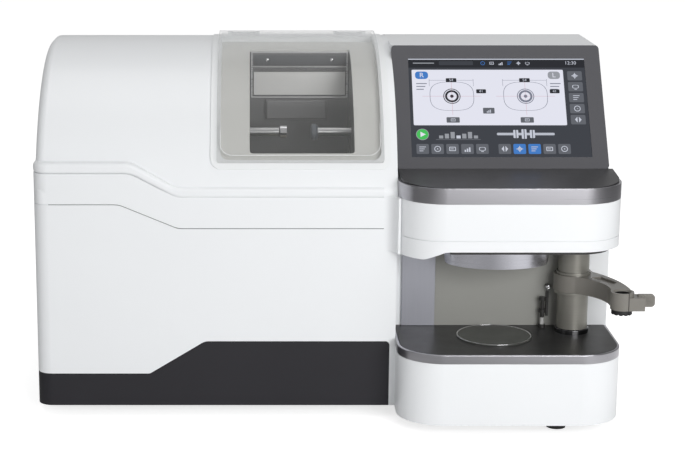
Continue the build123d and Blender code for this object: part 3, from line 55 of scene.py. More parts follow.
# ------------------------------------------------------------------ finishes
# Patterns are in features per metre and depths of relief in metres; gloss is Blender's roughness.
NOISE_LOW, NOISE_HIGH = 0.3, 0.7
SLOW_PATTERN, GLOSS_PATTERN = 6.0, 40.0
GLOSS_SPREAD = 0.03
GRAIN_STRENGTH = 0.35
COAT_GLOSS = 0.12
BRUSH_ROUGHER, BRUSH_SMOOTHER = 0.06, 0.04
BRUSH_STRENGTH, BRUSH_DEPTH = 0.2, 0.03 * MM
CLEAR_PATTERN, CLEAR_WAVES = 30.0, 12.0
CLEAR_STRENGTH, CLEAR_DEPTH = 0.1, 0.2 * MM
CLEAR_IOR = 1.6
EDGE_ON_FROM, EDGE_ON_TO = 0.6, 0.98
PIXEL_PATTERN, PIXEL_DIM = 3000.0, 0.97
GLASS_GLOSS, GLASS_SHEEN = 0.12, 0.3


def new_material(name):
    """Material with its Principled shader and the piece's own coordinates ready to wire."""
    made = bpy.data.materials.new(name)
    made.use_nodes = True
    tree = made.node_tree
    shader = tree.nodes["Principled BSDF"]
    place = tree.nodes.new("ShaderNodeTexCoord")
    return made, tree, shader, place.outputs["Object"]


def stretched(tree, place, scale):
    """The coordinates multiplied by scale along X, Y and Z, so a pattern can run along one axis."""
    mapping = tree.nodes.new("ShaderNodeMapping")
    mapping.inputs["Scale"].default_value = scale
    tree.links.new(place, mapping.inputs["Vector"])
    return mapping.outputs["Vector"]


def noise(tree, place, scale, detail=4.0, roughness=0.55):
    """Fractal noise with that many features per metre."""
    made = tree.nodes.new("ShaderNodeTexNoise")
    made.inputs["Scale"].default_value = scale
    made.inputs["Detail"].default_value = detail
    made.inputs["Roughness"].default_value = roughness
    tree.links.new(place, made.inputs["Vector"])
    return made.outputs["Fac"]


def mapped(tree, value, start, end, low, high, smooth=False):
    """value, from start to end, moved to low to high, in a straight line or along an S."""
    made = tree.nodes.new("ShaderNodeMapRange")
    if smooth:
        made.interpolation_type = "SMOOTHSTEP"
    made.inputs["From Min"].default_value = start
    made.inputs["From Max"].default_value = end
    made.inputs["To Min"].default_value = low
    made.inputs["To Max"].default_value = high
    tree.links.new(value, made.inputs["Value"])
    return made.outputs["Result"]


def spread(tree, value, low, high):
    """A noise value, which lies mostly from 0.3 to 0.7, spread over low to high."""
    return mapped(tree, value, NOISE_LOW, NOISE_HIGH, low, high)


def blend_colours(tree, value, first, second):
    """first where value is 0 and second where it is 1."""
    made = tree.nodes.new("ShaderNodeMix")
    made.data_type = "RGBA"
    made.inputs["A"].default_value = first
    made.inputs["B"].default_value = second
    tree.links.new(value, made.inputs["Factor"])
    return made.outputs["Result"]


def uneven(tree, value, colour, share):
    """colour, darker by up to that share where value is low."""
    darker = tuple(c * (1 - share) for c in colour[:3]) + (1.0,)
    return blend_colours(tree, spread(tree, value, 0.0, 1.0), darker, colour)


def axes_of(tree, place):
    """The X, Y and Z outputs of the coordinates."""
    split = tree.nodes.new("ShaderNodeSeparateXYZ")
    tree.links.new(place, split.inputs[0])
    return split.outputs


def relief(tree, shader, value, strength, depth):
    """Bump of that depth in metres from value."""
    made = tree.nodes.new("ShaderNodeBump")
    made.inputs["Strength"].default_value = strength
    made.inputs["Distance"].default_value = depth
    tree.links.new(value, made.inputs["Height"])
    tree.links.new(made.outputs["Normal"], shader.inputs["Normal"])


def moulded(name, colour, gloss, grain=900.0, grain_depth=0.04 * MM, shade=0.03, coat=0.0, sheen=0.5):
    """Moulded or painted surface: even colour, slow gloss variation and a fine grain in relief."""
    made, tree, shader, place = new_material(name)
    slow = noise(tree, place, SLOW_PATTERN, 2.0)
    tree.links.new(uneven(tree, slow, colour, shade), shader.inputs["Base Color"])
    patches = noise(tree, place, GLOSS_PATTERN)
    rough = spread(tree, patches, gloss - GLOSS_SPREAD, gloss + GLOSS_SPREAD)
    tree.links.new(rough, shader.inputs["Roughness"])
    relief(tree, shader, noise(tree, place, grain, 2.0), GRAIN_STRENGTH, grain_depth)
    shader.inputs["Coat Weight"].default_value = coat
    shader.inputs["Coat Roughness"].default_value = COAT_GLOSS
    shader.inputs["Specular IOR Level"].default_value = sheen
    return made


def brushed(name, colour, gloss, along, metallic=1.0, contrast=0.12):
    """Brushed metal: noise drawn out along one axis shades, roughens and scratches it."""
    made, tree, shader, place = new_material(name)
    lines = noise(tree, stretched(tree, place, along), 1.0, 6.0, 0.7)
    tree.links.new(uneven(tree, lines, colour, contrast), shader.inputs["Base Color"])
    rough = spread(tree, lines, gloss + BRUSH_ROUGHER, gloss - BRUSH_SMOOTHER)
    tree.links.new(rough, shader.inputs["Roughness"])
    relief(tree, shader, lines, BRUSH_STRENGTH, BRUSH_DEPTH)
    shader.inputs["Metallic"].default_value = metallic
    return made


def see_through(name, low_colour, high_colour, heights, alphas, gloss):
    """Tinted clear moulding: painted lighter towards its top, a painted reflection of the bright
    surroundings, and denser where it is seen edge-on.
    """
    made, tree, shader, place = new_material(name)
    patches = noise(tree, place, CLEAR_PATTERN)
    tree.links.new(spread(tree, patches, gloss, gloss + 0.05), shader.inputs["Roughness"])
    relief(tree, shader, noise(tree, place, CLEAR_WAVES, 1.0), CLEAR_STRENGTH, CLEAR_DEPTH)
    rise = mapped(tree, axes_of(tree, place)["Z"], *heights, 0.0, 1.0)
    tree.links.new(blend_colours(tree, rise, low_colour, high_colour), shader.inputs["Base Color"])
    edge = tree.nodes.new("ShaderNodeLayerWeight")
    edge.inputs["Blend"].default_value = 0.5
    dense = mapped(tree, edge.outputs["Facing"], EDGE_ON_FROM, EDGE_ON_TO, *alphas, smooth=True)
    tree.links.new(dense, shader.inputs["Alpha"])
    shader.inputs["IOR"].default_value = CLEAR_IOR
    return made


def recoloured(made, inside, mark):
    """Gives a moulded material the colour mark wherever inside is 1."""
    tree = made.node_tree
    shader = tree.nodes["Principled BSDF"]
    plain = shader.inputs["Base Color"].links[0].from_socket
    mixed = blend_colours(tree, inside, (0.0, 0.0, 0.0, 1.0), mark)
    tree.links.new(plain, mixed.node.inputs["A"])
    tree.links.new(mixed, shader.inputs["Base Color"])
    return made


def math_node(tree, operation, first, second):
    """Result of one operation on a socket and a number or another socket."""
    made = tree.nodes.new("ShaderNodeMath")
    made.operation = operation
    tree.links.new(first, made.inputs[0])
    if isinstance(second, float):
        made.inputs[1].default_value = second
    else:
        tree.links.new(second, made.inputs[1])
    return made.outputs[0]


def bored(name, colour, gloss, centre, radius, mark, **rest):
    """Moulded finish with another colour within radius of the vertical line through centre."""
    made = moulded(name, colour, gloss, **rest)
    tree = made.node_tree
    place = tree.nodes.new("ShaderNodeTexCoord").outputs["Object"]
    reach = tree.nodes.new("ShaderNodeVectorMath")
    reach.operation = "DISTANCE"
    reach.inputs[1].default_value = (*centre, 0.0)
    tree.links.new(stretched(tree, place, (1.0, 1.0, 0.0)), reach.inputs[0])
    return recoloured(made, math_node(tree, "LESS_THAN", reach.outputs["Value"], radius), mark)


def marked(name, colour, gloss, limits, mark, **rest):
    """Moulded finish with another colour where every limit (axis, rule, place in metres) holds."""
    made = moulded(name, colour, gloss, **rest)
    tree = made.node_tree
    axes = axes_of(tree, tree.nodes.new("ShaderNodeTexCoord").outputs["Object"])
    inside = None
    for axis, rule, limit in limits:
        test = math_node(tree, rule, axes[axis], limit)
        inside = math_node(tree, "MULTIPLY", inside, test) if inside else test
    return recoloured(made, inside, mark)


def glowing(name, colour, strength=1.0):
    """Lit part of the screen, which shows its own colour under the glass."""
    made, tree, shader, place = new_material(name)
    fine = noise(tree, place, PIXEL_PATTERN, 0.0)
    dimmer = tuple(c * PIXEL_DIM for c in colour[:3]) + (1.0,)
    tree.links.new(blend_colours(tree, fine, dimmer, colour), shader.inputs["Emission Color"])
    shader.inputs["Emission Strength"].default_value = strength
    shader.inputs["Base Color"].default_value = (0.0, 0.0, 0.0, 1.0)
    shader.inputs["Roughness"].default_value = GLASS_GLOSS
    shader.inputs["Specular IOR Level"].default_value = GLASS_SHEEN
    return made


# White and grey mouldings. The lower housing has painted shade in its seam groove: a dark line where
# the groove would be shaded, which starts past the rounded corner of the case.
SHELL_WHITE = linear(238, 240, 242)
SEAM_SHADE_DEPTHS = (0.25 * MM, 1.4 * MM)
HOUSING_CORNER = 18.5 * MM
housing_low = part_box("lower_housing")[0]
white_shell = moulded("white_shell", SHELL_WHITE, 0.34, coat=0.15, shade=0.012)
housing_white_seam_shade = marked(
    "housing_white_seam_shade", SHELL_WHITE, 0.34,
    (
        ("Y", "GREATER_THAN", housing_low[1] + SEAM_SHADE_DEPTHS[0]),
        ("Y", "LESS_THAN", housing_low[1] + SEAM_SHADE_DEPTHS[1]),
        ("X", "GREATER_THAN", housing_low[0] + HOUSING_CORNER),
    ),
    linear(60, 61, 62), coat=0.15, shade=0.012,
)
frame_white = moulded("frame_white", linear(236, 238, 239), 0.38, shade=0.012)
deck_grey = moulded("deck_grey", linear(218, 218, 214), 0.42, shade=0.02)
tub_grey = moulded("tub_grey", linear(96, 96, 97), 0.4, shade=0.1)
cover_grey = moulded("cover_grey", linear(112, 112, 113), 0.4, shade=0.06)
pad_grey = moulded("pad_grey", linear(96, 102, 110), 0.4, grain=900.0, shade=0.08)
led_diffuser = moulded("led_diffuser", linear(228, 228, 224), 0.5)
# Painted highlight: the white of the thin bead that stands for the glint along the lid's inner lip.
glint_white = moulded("glint_white", linear(250, 251, 252), 0.2, sheen=0.8)

# Dark mouldings and glass.
charcoal = moulded("charcoal_moulding", linear(40, 39, 44), 0.5, grain=1400.0, shade=0.08, sheen=0.35)
shelf_dark = moulded("shelf_dark", linear(50, 50, 52), 0.4, grain=1600.0, shade=0.05)
bezel_slate = moulded("bezel_slate", linear(82, 82, 86), 0.36, grain=1600.0, shade=0.05)
black_moulding = moulded("black_moulding", linear(30, 30, 31), 0.45, grain=1300.0, shade=0.1)
ceiling_black = moulded("ceiling_black", linear(52, 51, 50), 0.5, shade=0.08)
rubber_black = moulded(
    "rubber_black", linear(34, 33, 33), 0.75, grain=700.0, grain_depth=0.1 * MM, shade=0.12
)
disc_dark = moulded("disc_dark", linear(80, 82, 78), 0.4, grain=2200.0, shade=0.04, sheen=0.2)
glass_black = moulded("screen_glass", linear(22, 23, 26), 0.1, grain=300.0, grain_depth=0.01 * MM)
lens_glass = moulded(
    "lens_glass", linear(18, 18, 26), 0.05, grain=300.0, grain_depth=0.01 * MM, coat=0.6
)

# Paints. The stop post shows a length of bare rod low down. The arm gets painted shade inside its socket:
# dark within the socket mouth, where the bore would be shaded.
ARM_GREY = linear(124, 121, 115)
BARE_ROD_Z = (104.2 * MM, 112.8 * MM)
SOCKET_MOUTH = 8.9 * MM
holder_low, holder_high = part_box("block_holder")
socket_middle = ((holder_low[0] + holder_high[0]) / 2, (holder_low[1] + holder_high[1]) / 2)
post_black = marked(
    "post_black", linear(46, 45, 44), 0.42,
    (("Z", "GREATER_THAN", BARE_ROD_Z[0]), ("Z", "LESS_THAN", BARE_ROD_Z[1])),
    linear(186, 186, 184), shade=0.08,
)
arm_paint = moulded("arm_paint", ARM_GREY, 0.34, grain=1800.0, shade=0.04)
# Painted shade: the arm is dark within the socket mouth, where its bore would be shaded.
arm_socket_shade = bored(
    "arm_socket_shade", ARM_GREY, 0.34, socket_middle, SOCKET_MOUTH, linear(26, 25, 24), grain=1800.0, shade=0.04
)
back_warm = moulded("back_warm", linear(152, 152, 147), 0.4, shade=0.04)
table_black = moulded("table_black", linear(51, 51, 51), 0.38, grain=1800.0, shade=0.06, sheen=0.22)
panel_paint = moulded("panel_paint", linear(186, 187, 188), 0.5, grain=500.0, grain_depth=0.08 * MM)
motor_paint = moulded("motor_paint", linear(70, 72, 76), 0.5)
grit = moulded(
    "diamond_grit", linear(150, 144, 128), 0.7, grain=2600.0, grain_depth=0.2 * MM, shade=0.25
)

# Metals: colour, gloss and the pattern's features per metre along X, Y and Z.
METALS = {
    "column_paint": ((150, 148, 141), 0.34, (6.0, 6.0, 300.0), {"metallic": 0.55, "contrast": 0.05}),
    "band_metal": ((186, 185, 190), 0.3, (4.0, 4.0, 1400.0), {}),
    "hood_metal": ((214, 214, 222), 0.28, (6.0, 6.0, 1200.0), {}),
    "side_metal": ((172, 173, 181), 0.42, (500.0, 500.0, 4.0), {"contrast": 0.05}),
    "bright_steel": ((206, 206, 207), 0.28, (6.0, 900.0, 900.0), {}),
    "splash_steel": ((226, 226, 224), 0.34, (4.0, 900.0, 1400.0), {"metallic": 0.6, "contrast": 0.04}),
    "polished_chrome": ((222, 222, 224), 0.08, (900.0, 6.0, 6.0), {"contrast": 0.04}),
    "dark_chrome": ((120, 120, 122), 0.1, (6.0, 6.0, 900.0), {"contrast": 0.1}),
    "frame_metal": ((176, 177, 180), 0.42, (300.0, 300.0, 300.0), {}),
    "hose_metal": ((190, 184, 166), 0.25, (8.0, 700.0, 8.0), {}),
}
metals = {
    name: brushed(name, linear(*colour), gloss, along, **rest)
    for name, (colour, gloss, along, rest) in METALS.items()
}

# The lid is painted lighter near its hinge, a painted reflection. Its rounded edges are denser than its face
# and painted darker, as painted shade lines along them.
lid_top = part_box("lid")[1][2]
lid_clear = see_through(
    "lid_clear", linear(150, 151, 150), linear(232, 234, 236),
    (lid_top - 30 * MM, lid_top - 4 * MM), (0.13, 0.6), 0.05,
)
lid_edge = see_through(
    "lid_edge", linear(120, 122, 123), linear(226, 228, 230),
    (lid_top - 40 * MM, lid_top - 10 * MM), (0.5, 0.8), 0.08,
)


# ------------------------------------------------------------------ dressing the construction
WELD_REACH = 0.002 * MM
CREASE_ANGLE = math.radians(32.0)
BEVEL_ANGLE = math.radians(38.0)
BEVEL_STEPS = 2
NORMAL_WEIGHT = 80


def crease_shading():
    """Modifier that smooths curved faces and keeps edges over the crease angle sharp."""
    group = bpy.data.node_groups.new("crease_shading", "GeometryNodeTree")
    group.interface.new_socket("Geometry", in_out="INPUT", socket_type="NodeSocketGeometry")
    group.interface.new_socket("Geometry", in_out="OUTPUT", socket_type="NodeSocketGeometry")
    start = group.nodes.new("NodeGroupInput")
    end = group.nodes.new("NodeGroupOutput")
    smooth = group.nodes.new("GeometryNodeSetShadeSmooth")
    smooth.domain = "FACE"
    angle = group.nodes.new("GeometryNodeInputMeshEdgeAngle")
    steep = group.nodes.new("FunctionNodeCompare")
    steep.operation = "GREATER_THAN"
    steep.inputs["B"].default_value = CREASE_ANGLE
    sharp = group.nodes.new("GeometryNodeSetShadeSmooth")
    sharp.domain = "EDGE"
    sharp.inputs["Shade Smooth"].default_value = False
    link = group.links.new
    link(start.outputs[0], smooth.inputs["Geometry"])
    link(angle.outputs["Unsigned Angle"], steep.inputs["A"])
    link(smooth.outputs["Geometry"], sharp.inputs["Geometry"])
    link(steep.outputs["Result"], sharp.inputs["Selection"])
    link(sharp.outputs["Geometry"], end.inputs[0])
    return group


CREASE = crease_shading()


def soften(piece, edge):
    """Welds a piece's loose triangles, rounds its sharp edges by edge metres and smooths the rest."""
    weld = piece.modifiers.new("weld", "WELD")
    weld.merge_threshold = WELD_REACH
    if edge:
        bevel = piece.modifiers.new("rounded_edges", "BEVEL")
        bevel.width = edge
        bevel.segments = BEVEL_STEPS
        bevel.limit_method = "ANGLE"
        bevel.angle_limit = BEVEL_ANGLE
        bevel.use_clamp_overlap = True
    shading = piece.modifiers.new("creases", "NODES")
    shading.node_group = CREASE
    even = piece.modifiers.new("even_normals", "WEIGHTED_NORMAL")
    even.keep_sharp = True
    even.weight = NORMAL_WEIGHT


def paint(piece, finish):
    """Gives a piece one finish all over."""
    if not piece.material_slots:
        piece.data.materials.append(finish)
    for holder in piece.material_slots:
        holder.material = finish


# Each finish with the nodes that wear it and the radius of their edges, in metres.
FINISHES = {
    white_shell: ("upper_cover module_housing head_shell head_lower_cover base_shell", 0.0006),
    housing_white_seam_shade: ("lower_housing", 0.0003),
    frame_white: ("window_frame lid_brackets", 0.0005),
    charcoal: ("base_trim", 0.0005),
    shelf_dark: ("shelf_panel", 0.0005),
    bezel_slate: ("display_bezel", 0.0006),
    black_moulding: (
        "block_holder power_inlet power_rocker fan_frame fan_rotor lcd_module water_nozzle shaft_seals",
        0.0003,
    ),
    ceiling_black: ("ceiling_plate", 0.0004),
    post_black: ("stop_post", 0.0004),
    cover_grey: ("tool_cover", 0.0004),
    deck_grey: ("deck", 0.0004),
    tub_grey: ("chamber_tub", 0.0),
    rubber_black: ("feet drive_belt", 0.0004),
    pad_grey: ("right_pad", 0.0004),
    arm_socket_shade: ("blocking_arm", 0.0005),
    arm_paint: ("thumb_clip", 0.0005),
    metals["column_paint"]: ("column slide_bush", 0.0004),
    back_warm: ("bay_back_panel", 0.0003),
    table_black: ("table_plate", 0.0003),
    disc_dark: ("light_disc", 0.0002),
    led_diffuser: ("led_ring", 0.0002),
    panel_paint: ("base_pan rear_panel", 0.0),
    motor_paint: ("motor", 0.0005),
    metals["band_metal"]: ("head_band table_band", 0.0004),
    metals["hood_metal"]: ("camera_hood", 0.0004),
    metals["side_metal"]: ("bay_side_panel", 0.0005),
    metals["bright_steel"]: ("left_shaft clamp_quill wheel_spindle carriage_axle right_shaft", 0.0003),
    metals["splash_steel"]: ("splash_plate", 0.0003),
    metals["polished_chrome"]: ("left_chuck", 0.0002),
    metals["dark_chrome"]: ("column_ring", 0.0002),
    metals["frame_metal"]: (
        "carriage_frame carriage_brackets spindle_housing spindle_pulley motor_pulley", 0.0003,
    ),
    grit: ("grinding_wheels", 0.0003),
    metals["hose_metal"]: ("hose_spigots", 0.0003),
    lid_clear: ("lid", 0.0009),
    glass_black: ("touch_panel", 0.0),
    lens_glass: ("camera_lens", 0.0003),
}
for finish, (names, edge) in FINISHES.items():
    for name in names.split():
        paint(nodes[name], finish)
        soften(nodes[name], edge)
# The lid's rounded edges wear lid_edge: painted shade lines, lighter near the hinge as a painted reflection.
nodes["lid"].data.materials.append(lid_edge)
nodes["lid"].modifiers["rounded_edges"].material = 1


# ------------------------------------------------------------------ mesh helpers
def add_piece(name, points, faces, finish, body=BODY, slot=None, smooth=False):
    """New piece from an array of points and a list of faces, riding on a body."""
    mesh = bpy.data.meshes.new(name)
    mesh.from_pydata(np.asarray(points).tolist(), [], [tuple(face) for face in faces])
    mesh.validate()
    mesh.update()
    piece = bpy.data.objects.new(name, mesh)
    bpy.context.scene.collection.objects.link(piece)
    if smooth:
        mesh.polygons.foreach_set("use_smooth", np.ones(len(mesh.polygons), dtype=bool))
    paint(piece, finish)
    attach(piece, body)
    return piece


# ------------------------------------------------------------------ the lit screen
# Lengths on the screen are in millimetres, from the lit area's lower left corner. The foot is the lower
# left corner of the bezel's slope, and the glass lies a step below it.
SCREEN_FOOT = np.array((68.75, -123.3, 298.0)) * MM
SCREEN_TILT = math.radians(37.2)
SCREEN_CORNER = (20.0, 15.4)
SCREEN_WIDTH, SCREEN_HEIGHT = 217.0, 136.5
GLASS_STEP = 1.6
LAYER = 0.05
SHARP = 0.001
CAPITAL_TO_FONT_SIZE = 1.4
ACROSS = np.array((1.0, 0.0, 0.0))
UPWARD = np.array((0.0, math.sin(SCREEN_TILT), math.cos(SCREEN_TILT)))
OUTWARD = np.array((0.0, -math.cos(SCREEN_TILT), math.sin(SCREEN_TILT)))


def on_screen(u, v, layer):
    """Place of a screen point: foot + u across + v up the slope + its layer's height above the glass."""
    u, v = np.atleast_1d(u), np.atleast_1d(v)
    height = (layer * LAYER - GLASS_STEP) * MM
    return (
        SCREEN_FOOT
        + np.outer((u + SCREEN_CORNER[0]) * MM, ACROSS)
        + np.outer((v + SCREEN_CORNER[1]) * MM, UPWARD)
        + height * OUTWARD
    )


class Picture:
    """Flat shapes of one lit picture, gathered by colour and stacked in layers."""

    def __init__(self):
        self.points, self.faces, self.looks, self.finishes, self.count = [], [], [], [], 0

    def gather(self, placed, faces, finish):
        """Takes in points and the faces between them, all of one finish."""
        if finish not in self.finishes:
            self.finishes.append(finish)
        self.points.append(placed)
        self.faces.extend([[self.count + i for i in face] for face in faces])
        self.looks.extend([self.finishes.index(finish)] * len(faces))
        self.count += len(placed)

    def shape(self, u, v, layer, finish):
        """Filled outline through the points (u, v), counter-clockwise."""
        placed = on_screen(u, v, layer)
        self.gather(placed, [range(len(placed))], finish)

    def ring(self, u, v, inner_u, inner_v, layer, finish):
        """Band between an outer and an inner outline with as many points each."""
        steps = len(u)
        first = np.arange(steps)
        after = (first + 1) % steps
        quads = np.stack((first, after, after + steps, first + steps), axis=1)
        placed = np.vstack((on_screen(u, v, layer), on_screen(inner_u, inner_v, layer)))
        self.gather(placed, quads.tolist(), finish)

    def box(self, u, v, width, height, layer, finish, corner=0.0):
        """Rectangle from its lower left corner, its corners rounded by arcs."""
        self.shape(*rounded(u, v, width, height, corner), layer, finish)

    def frame(self, u, v, width, height, line, layer, finish, corner=0.0):
        """Outline of a rectangle, line wide."""
        outer = rounded(u, v, width, height, corner + SHARP)
        inner = rounded(
            u + line, v + line, width - 2 * line, height - 2 * line, max(corner - line, SHARP)
        )
        self.ring(*outer, *inner, layer, finish)

    def disc(self, u, v, radius, layer, finish, steps=40):
        """Filled circle."""
        turn = np.linspace(0, 2 * math.pi, steps, endpoint=False)
        self.shape(u + radius * np.cos(turn), v + radius * np.sin(turn), layer, finish)

    def hoop(self, u, v, radius, line, layer, finish, steps=56, flat=0.0, tall=1.0):
        """Closed line round |x|^n + |y|^n = radius^n, n = 2 + flat; tall stretches it upwards."""
        turn = np.linspace(0, 2 * math.pi, steps, endpoint=False)
        power = 2 + flat
        reach = 1.0 / (np.abs(np.cos(turn)) ** power + np.abs(np.sin(turn)) ** power) ** (1 / power)
        outer, inner = radius * reach, (radius - line) * reach
        self.ring(
            u + outer * np.cos(turn), v + tall * outer * np.sin(turn),
            u + inner * np.cos(turn), v + tall * inner * np.sin(turn), layer, finish,
        )

    def letters(self, text, u, v, size, layer, finish):
        """Plain letters or figures, size tall, centred on (u, v)."""
        curve = bpy.data.curves.new("letters", "FONT")
        curve.body = text
        curve.size = size * CAPITAL_TO_FONT_SIZE
        curve.align_x, curve.align_y = "CENTER", "CENTER"
        holder = bpy.data.objects.new("letters", curve)
        mesh = bpy.data.meshes.new_from_object(holder)
        flat = np.empty(len(mesh.vertices) * 3)
        mesh.vertices.foreach_get("co", flat)
        flat = flat.reshape(-1, 3)
        placed = on_screen(u + flat[:, 0], v + flat[:, 1], layer)
        self.gather(placed, [tuple(face.vertices) for face in mesh.polygons], finish)
        bpy.data.objects.remove(holder)

    def glyph(self, kind, u, v, size, layer, ink, ground):
        """Small key sign centred on (u, v), made of a few discs, bars and lines a ninth of its size."""
        half, line = size / 2, size / 9
        if kind == "rings":
            self.disc(u, v, half, layer, ink, 24)
            self.disc(u, v, half - line, layer + 1, ground, 24)
            self.disc(u, v, line, layer + 1, ink, 12)
        elif kind == "lines":
            for row in (-1, 0, 1):
                width = size * (0.8 + 0.2 * row)
                self.box(u - half, v + row * size / 3 - line / 2, width, line, layer, ink)
        elif kind == "arrows":
            for side in (-1, 1):
                tip_u = np.array((side * half, side * line, side * line))
                tip_v = np.array((0.0, half * side, -half * side))
                self.shape(u + tip_u, v + tip_v, layer, ink)
        elif kind == "card":
            self.frame(u - half, v - half * 0.7, size, size * 0.7, line, layer, ink, line)
            self.box(u - half * 0.6, v - line / 2, half, line, layer, ink)
        elif kind == "cross":
            self.box(u - half, v - line / 2, size, line, layer, ink)
            self.box(u - line / 2, v - half, line, size, layer, ink)
            self.hoop(u, v, half * 0.62, line, layer, ink, 24)
        elif kind == "bars":
            for column in (-1, 0, 1):
                tall = size * (0.55 + 0.2 * column)
                self.box(u + column * size / 3 - line, v - half, 2 * line, tall, layer, ink)
        else:
            self.hoop(u, v, half, line, layer, ink, 24, flat=2.0, tall=0.6)
            self.box(u - half * 0.4, v - half, half * 0.8, line, layer, ink)

    def finish(self, name):
        """The picture as one piece."""
        points = np.vstack(self.points)
        piece = add_piece(name, points, self.faces, self.finishes[0], slot="screen_glass")
        for finish in self.finishes[1:]:
            piece.data.materials.append(finish)
        piece.data.polygons.foreach_set("material_index", np.array(self.looks, dtype=np.int32))
        return piece


def rounded(u, v, width, height, corner, steps=5):
    """Rectangle outline with quarter-circle corners: corner centres plus corner times (cos, sin)."""
    if corner <= 0:
        return np.array((u, u + width, u + width, u)), np.array((v, v, v + height, v + height))
    quarter = np.linspace(0, math.pi / 2, steps)
    turn = np.concatenate([quarter - math.pi / 2, quarter, quarter + math.pi / 2, quarter + math.pi])
    centre_u = np.repeat((u + width - corner, u + width - corner, u + corner, u + corner), steps)
    centre_v = np.repeat((v + corner, v + height - corner, v + height - corner, v + corner), steps)
    return centre_u + corner * np.cos(turn), centre_v + corner * np.sin(turn)


def lit_picture():
    """Generic control picture: a pale work area with two lens outlines, a key column and a key row."""
    ink = glowing("picture_ink", linear(34, 36, 42))
    slate = glowing("picture_slate", linear(58, 61, 68))
    paper = glowing("picture_paper", linear(232, 233, 245), 0.95)
    line = glowing("picture_line", linear(120, 124, 140))
    key_grey = glowing("picture_key", linear(150, 153, 160))
    key_dark = glowing("picture_key_dark", linear(96, 99, 106))
    blue = glowing("picture_blue", linear(64, 122, 196))
    pale = glowing("picture_pale", linear(200, 204, 216))
    green = glowing("picture_green", linear(70, 190, 90))
    rose = glowing("picture_rose", linear(206, 160, 172))
    page = Picture()
    page.box(0, 0, SCREEN_WIDTH, SCREEN_HEIGHT, 1, slate)

    # Top bar: a line, a field, six signs and the time.
    page.box(0, 124, SCREEN_WIDTH, 12.5, 2, ink)
    page.box(0, 135.2, SCREEN_WIDTH, 1.3, 3, pale)
    for place, kind in enumerate(("rings", "card", "bars", "lines", "cross", "lens")):
        page.glyph(kind, 92 + 11 * place, 130.2, 5.4, 3, pale if place % 3 else blue, ink)
    page.box(6, 129.6, 26, 1.4, 3, key_grey)
    page.box(38, 127.5, 42, 5.6, 3, slate, 1.0)
    page.letters("12:30", 200, 130.4, 4.6, 3, pale)

    # Work area: two lens outlines with their middles, cross lines, widths and value boxes.
    page.box(4, 44, 186, 77, 2, paper, 1.5)
    middle, half_lens = 84, 27
    for u, look in ((52, ink), (142, line)):
        page.hoop(u, middle, half_lens, 0.6, 3, line, flat=1.0, tall=0.74)
        page.hoop(u, middle, 10.5, 1.0, 3, look)
        page.hoop(u, middle, 8.4, 2.6, 3, look)
        page.disc(u, middle, 2.2, 3, look)
        page.box(u - 36, middle - 0.2, 72, 0.35, 3, rose)
        page.box(u - 0.2, middle - 26, 0.35, 52, 3, rose)
        for side in (-1, 1):
            page.box(u + side * half_lens - 0.2, 98, 0.4, 10, 3, line)
        page.box(u - half_lens, 106, 2 * half_lens, 0.4, 3, line)
        page.box(u - 6.5, 103.5, 13, 5.6, 4, ink, 1.0)
        page.letters("54", u, 106.3, 3.6, 5, pale)
        page.box(u + 30, 88, 12, 5.6, 4, ink, 1.0)
        page.letters("41", u + 36, 90.8, 3.6, 5, pale)
        page.box(u - 8, 47.5, 16, 7.5, 3, key_dark, 1.0)
        page.glyph("card", u, 51.3, 5.6, 4, pale, key_dark)
    page.box(89, 60, 14, 8, 3, key_dark, 1.0)
    page.glyph("bars", 96, 64, 5.6, 4, pale, key_dark)
    for row in range(3):
        page.box(9, 101 - 4 * row, 13 - 2 * row, 1.2, 3, line)
        page.box(173, 101 - 4 * row, 13 - 2 * row, 1.2, 3, line)
    page.box(8, 108, 16, 10.5, 3, blue, 4.0)
    page.letters("R", 16, 113.2, 6.5, 4, paper)
    page.box(171, 108, 15, 10.5, 3, key_grey, 4.0)
    page.letters("L", 178.5, 113.2, 6.5, 4, paper)

    # Column of keys down the right side.
    for place, kind in enumerate(("cross", "lens", "lines", "rings", "arrows")):
        drop = 15.2 * place
        page.box(195, 106 - drop, 18, 13, 2, key_dark, 1.6)
        page.glyph(kind, 204, 112.5 - drop, 8.0, 3, pale, key_dark)

    # Lower strip: bars, a slider with three riders and the start key.
    page.box(30, 24, 54, 1.0, 3, key_dark)
    for place in range(7):
        page.box(34 + 7 * place, 26, 5, 4 + 2.4 * (place % 3), 2, key_grey if place != 3 else pale)
    page.box(104, 30.4, 70, 3.2, 3, pale, 1.4)
    page.box(104, 31.6, 70, 0.8, 4, key_grey)
    for place in range(3):
        foot, tall = 26.5 - place % 2, 11 + 2 * (place % 2)
        page.box(124 + 10 * place, foot, 6, tall, 5, pale, 1.0)
        page.box(126.5 + 10 * place, foot, 1.2, tall, 6, key_dark)
    page.disc(14, 31.5, 7.8, 2, key_grey)
    page.disc(14, 31.5, 7.0, 3, green)
    page.shape(np.array((11.6, 18.0, 11.6)), np.array((27.9, 31.5, 35.1)), 4, paper)

    # Row of keys along the bottom, in two groups of five; two are lit.
    row = ("lines", "rings", "card", "bars", "lens", "arrows", "cross", "lines", "card", "rings")
    for place, kind in enumerate(row):
        look = blue if place in (6, 7) else key_dark
        start = 6 + 18.0 * place + (9.0 if place > 4 else 0.0)
        page.box(start, 5, 15, 13.5, 2, look, 1.6)
        page.glyph(kind, start + 7.5, 11.8, 8.0, 3, pale, look)
    return page.finish("screen_picture")


lit_picture()


# ------------------------------------------------------------------ small fittings
POLE = 0.001 * MM


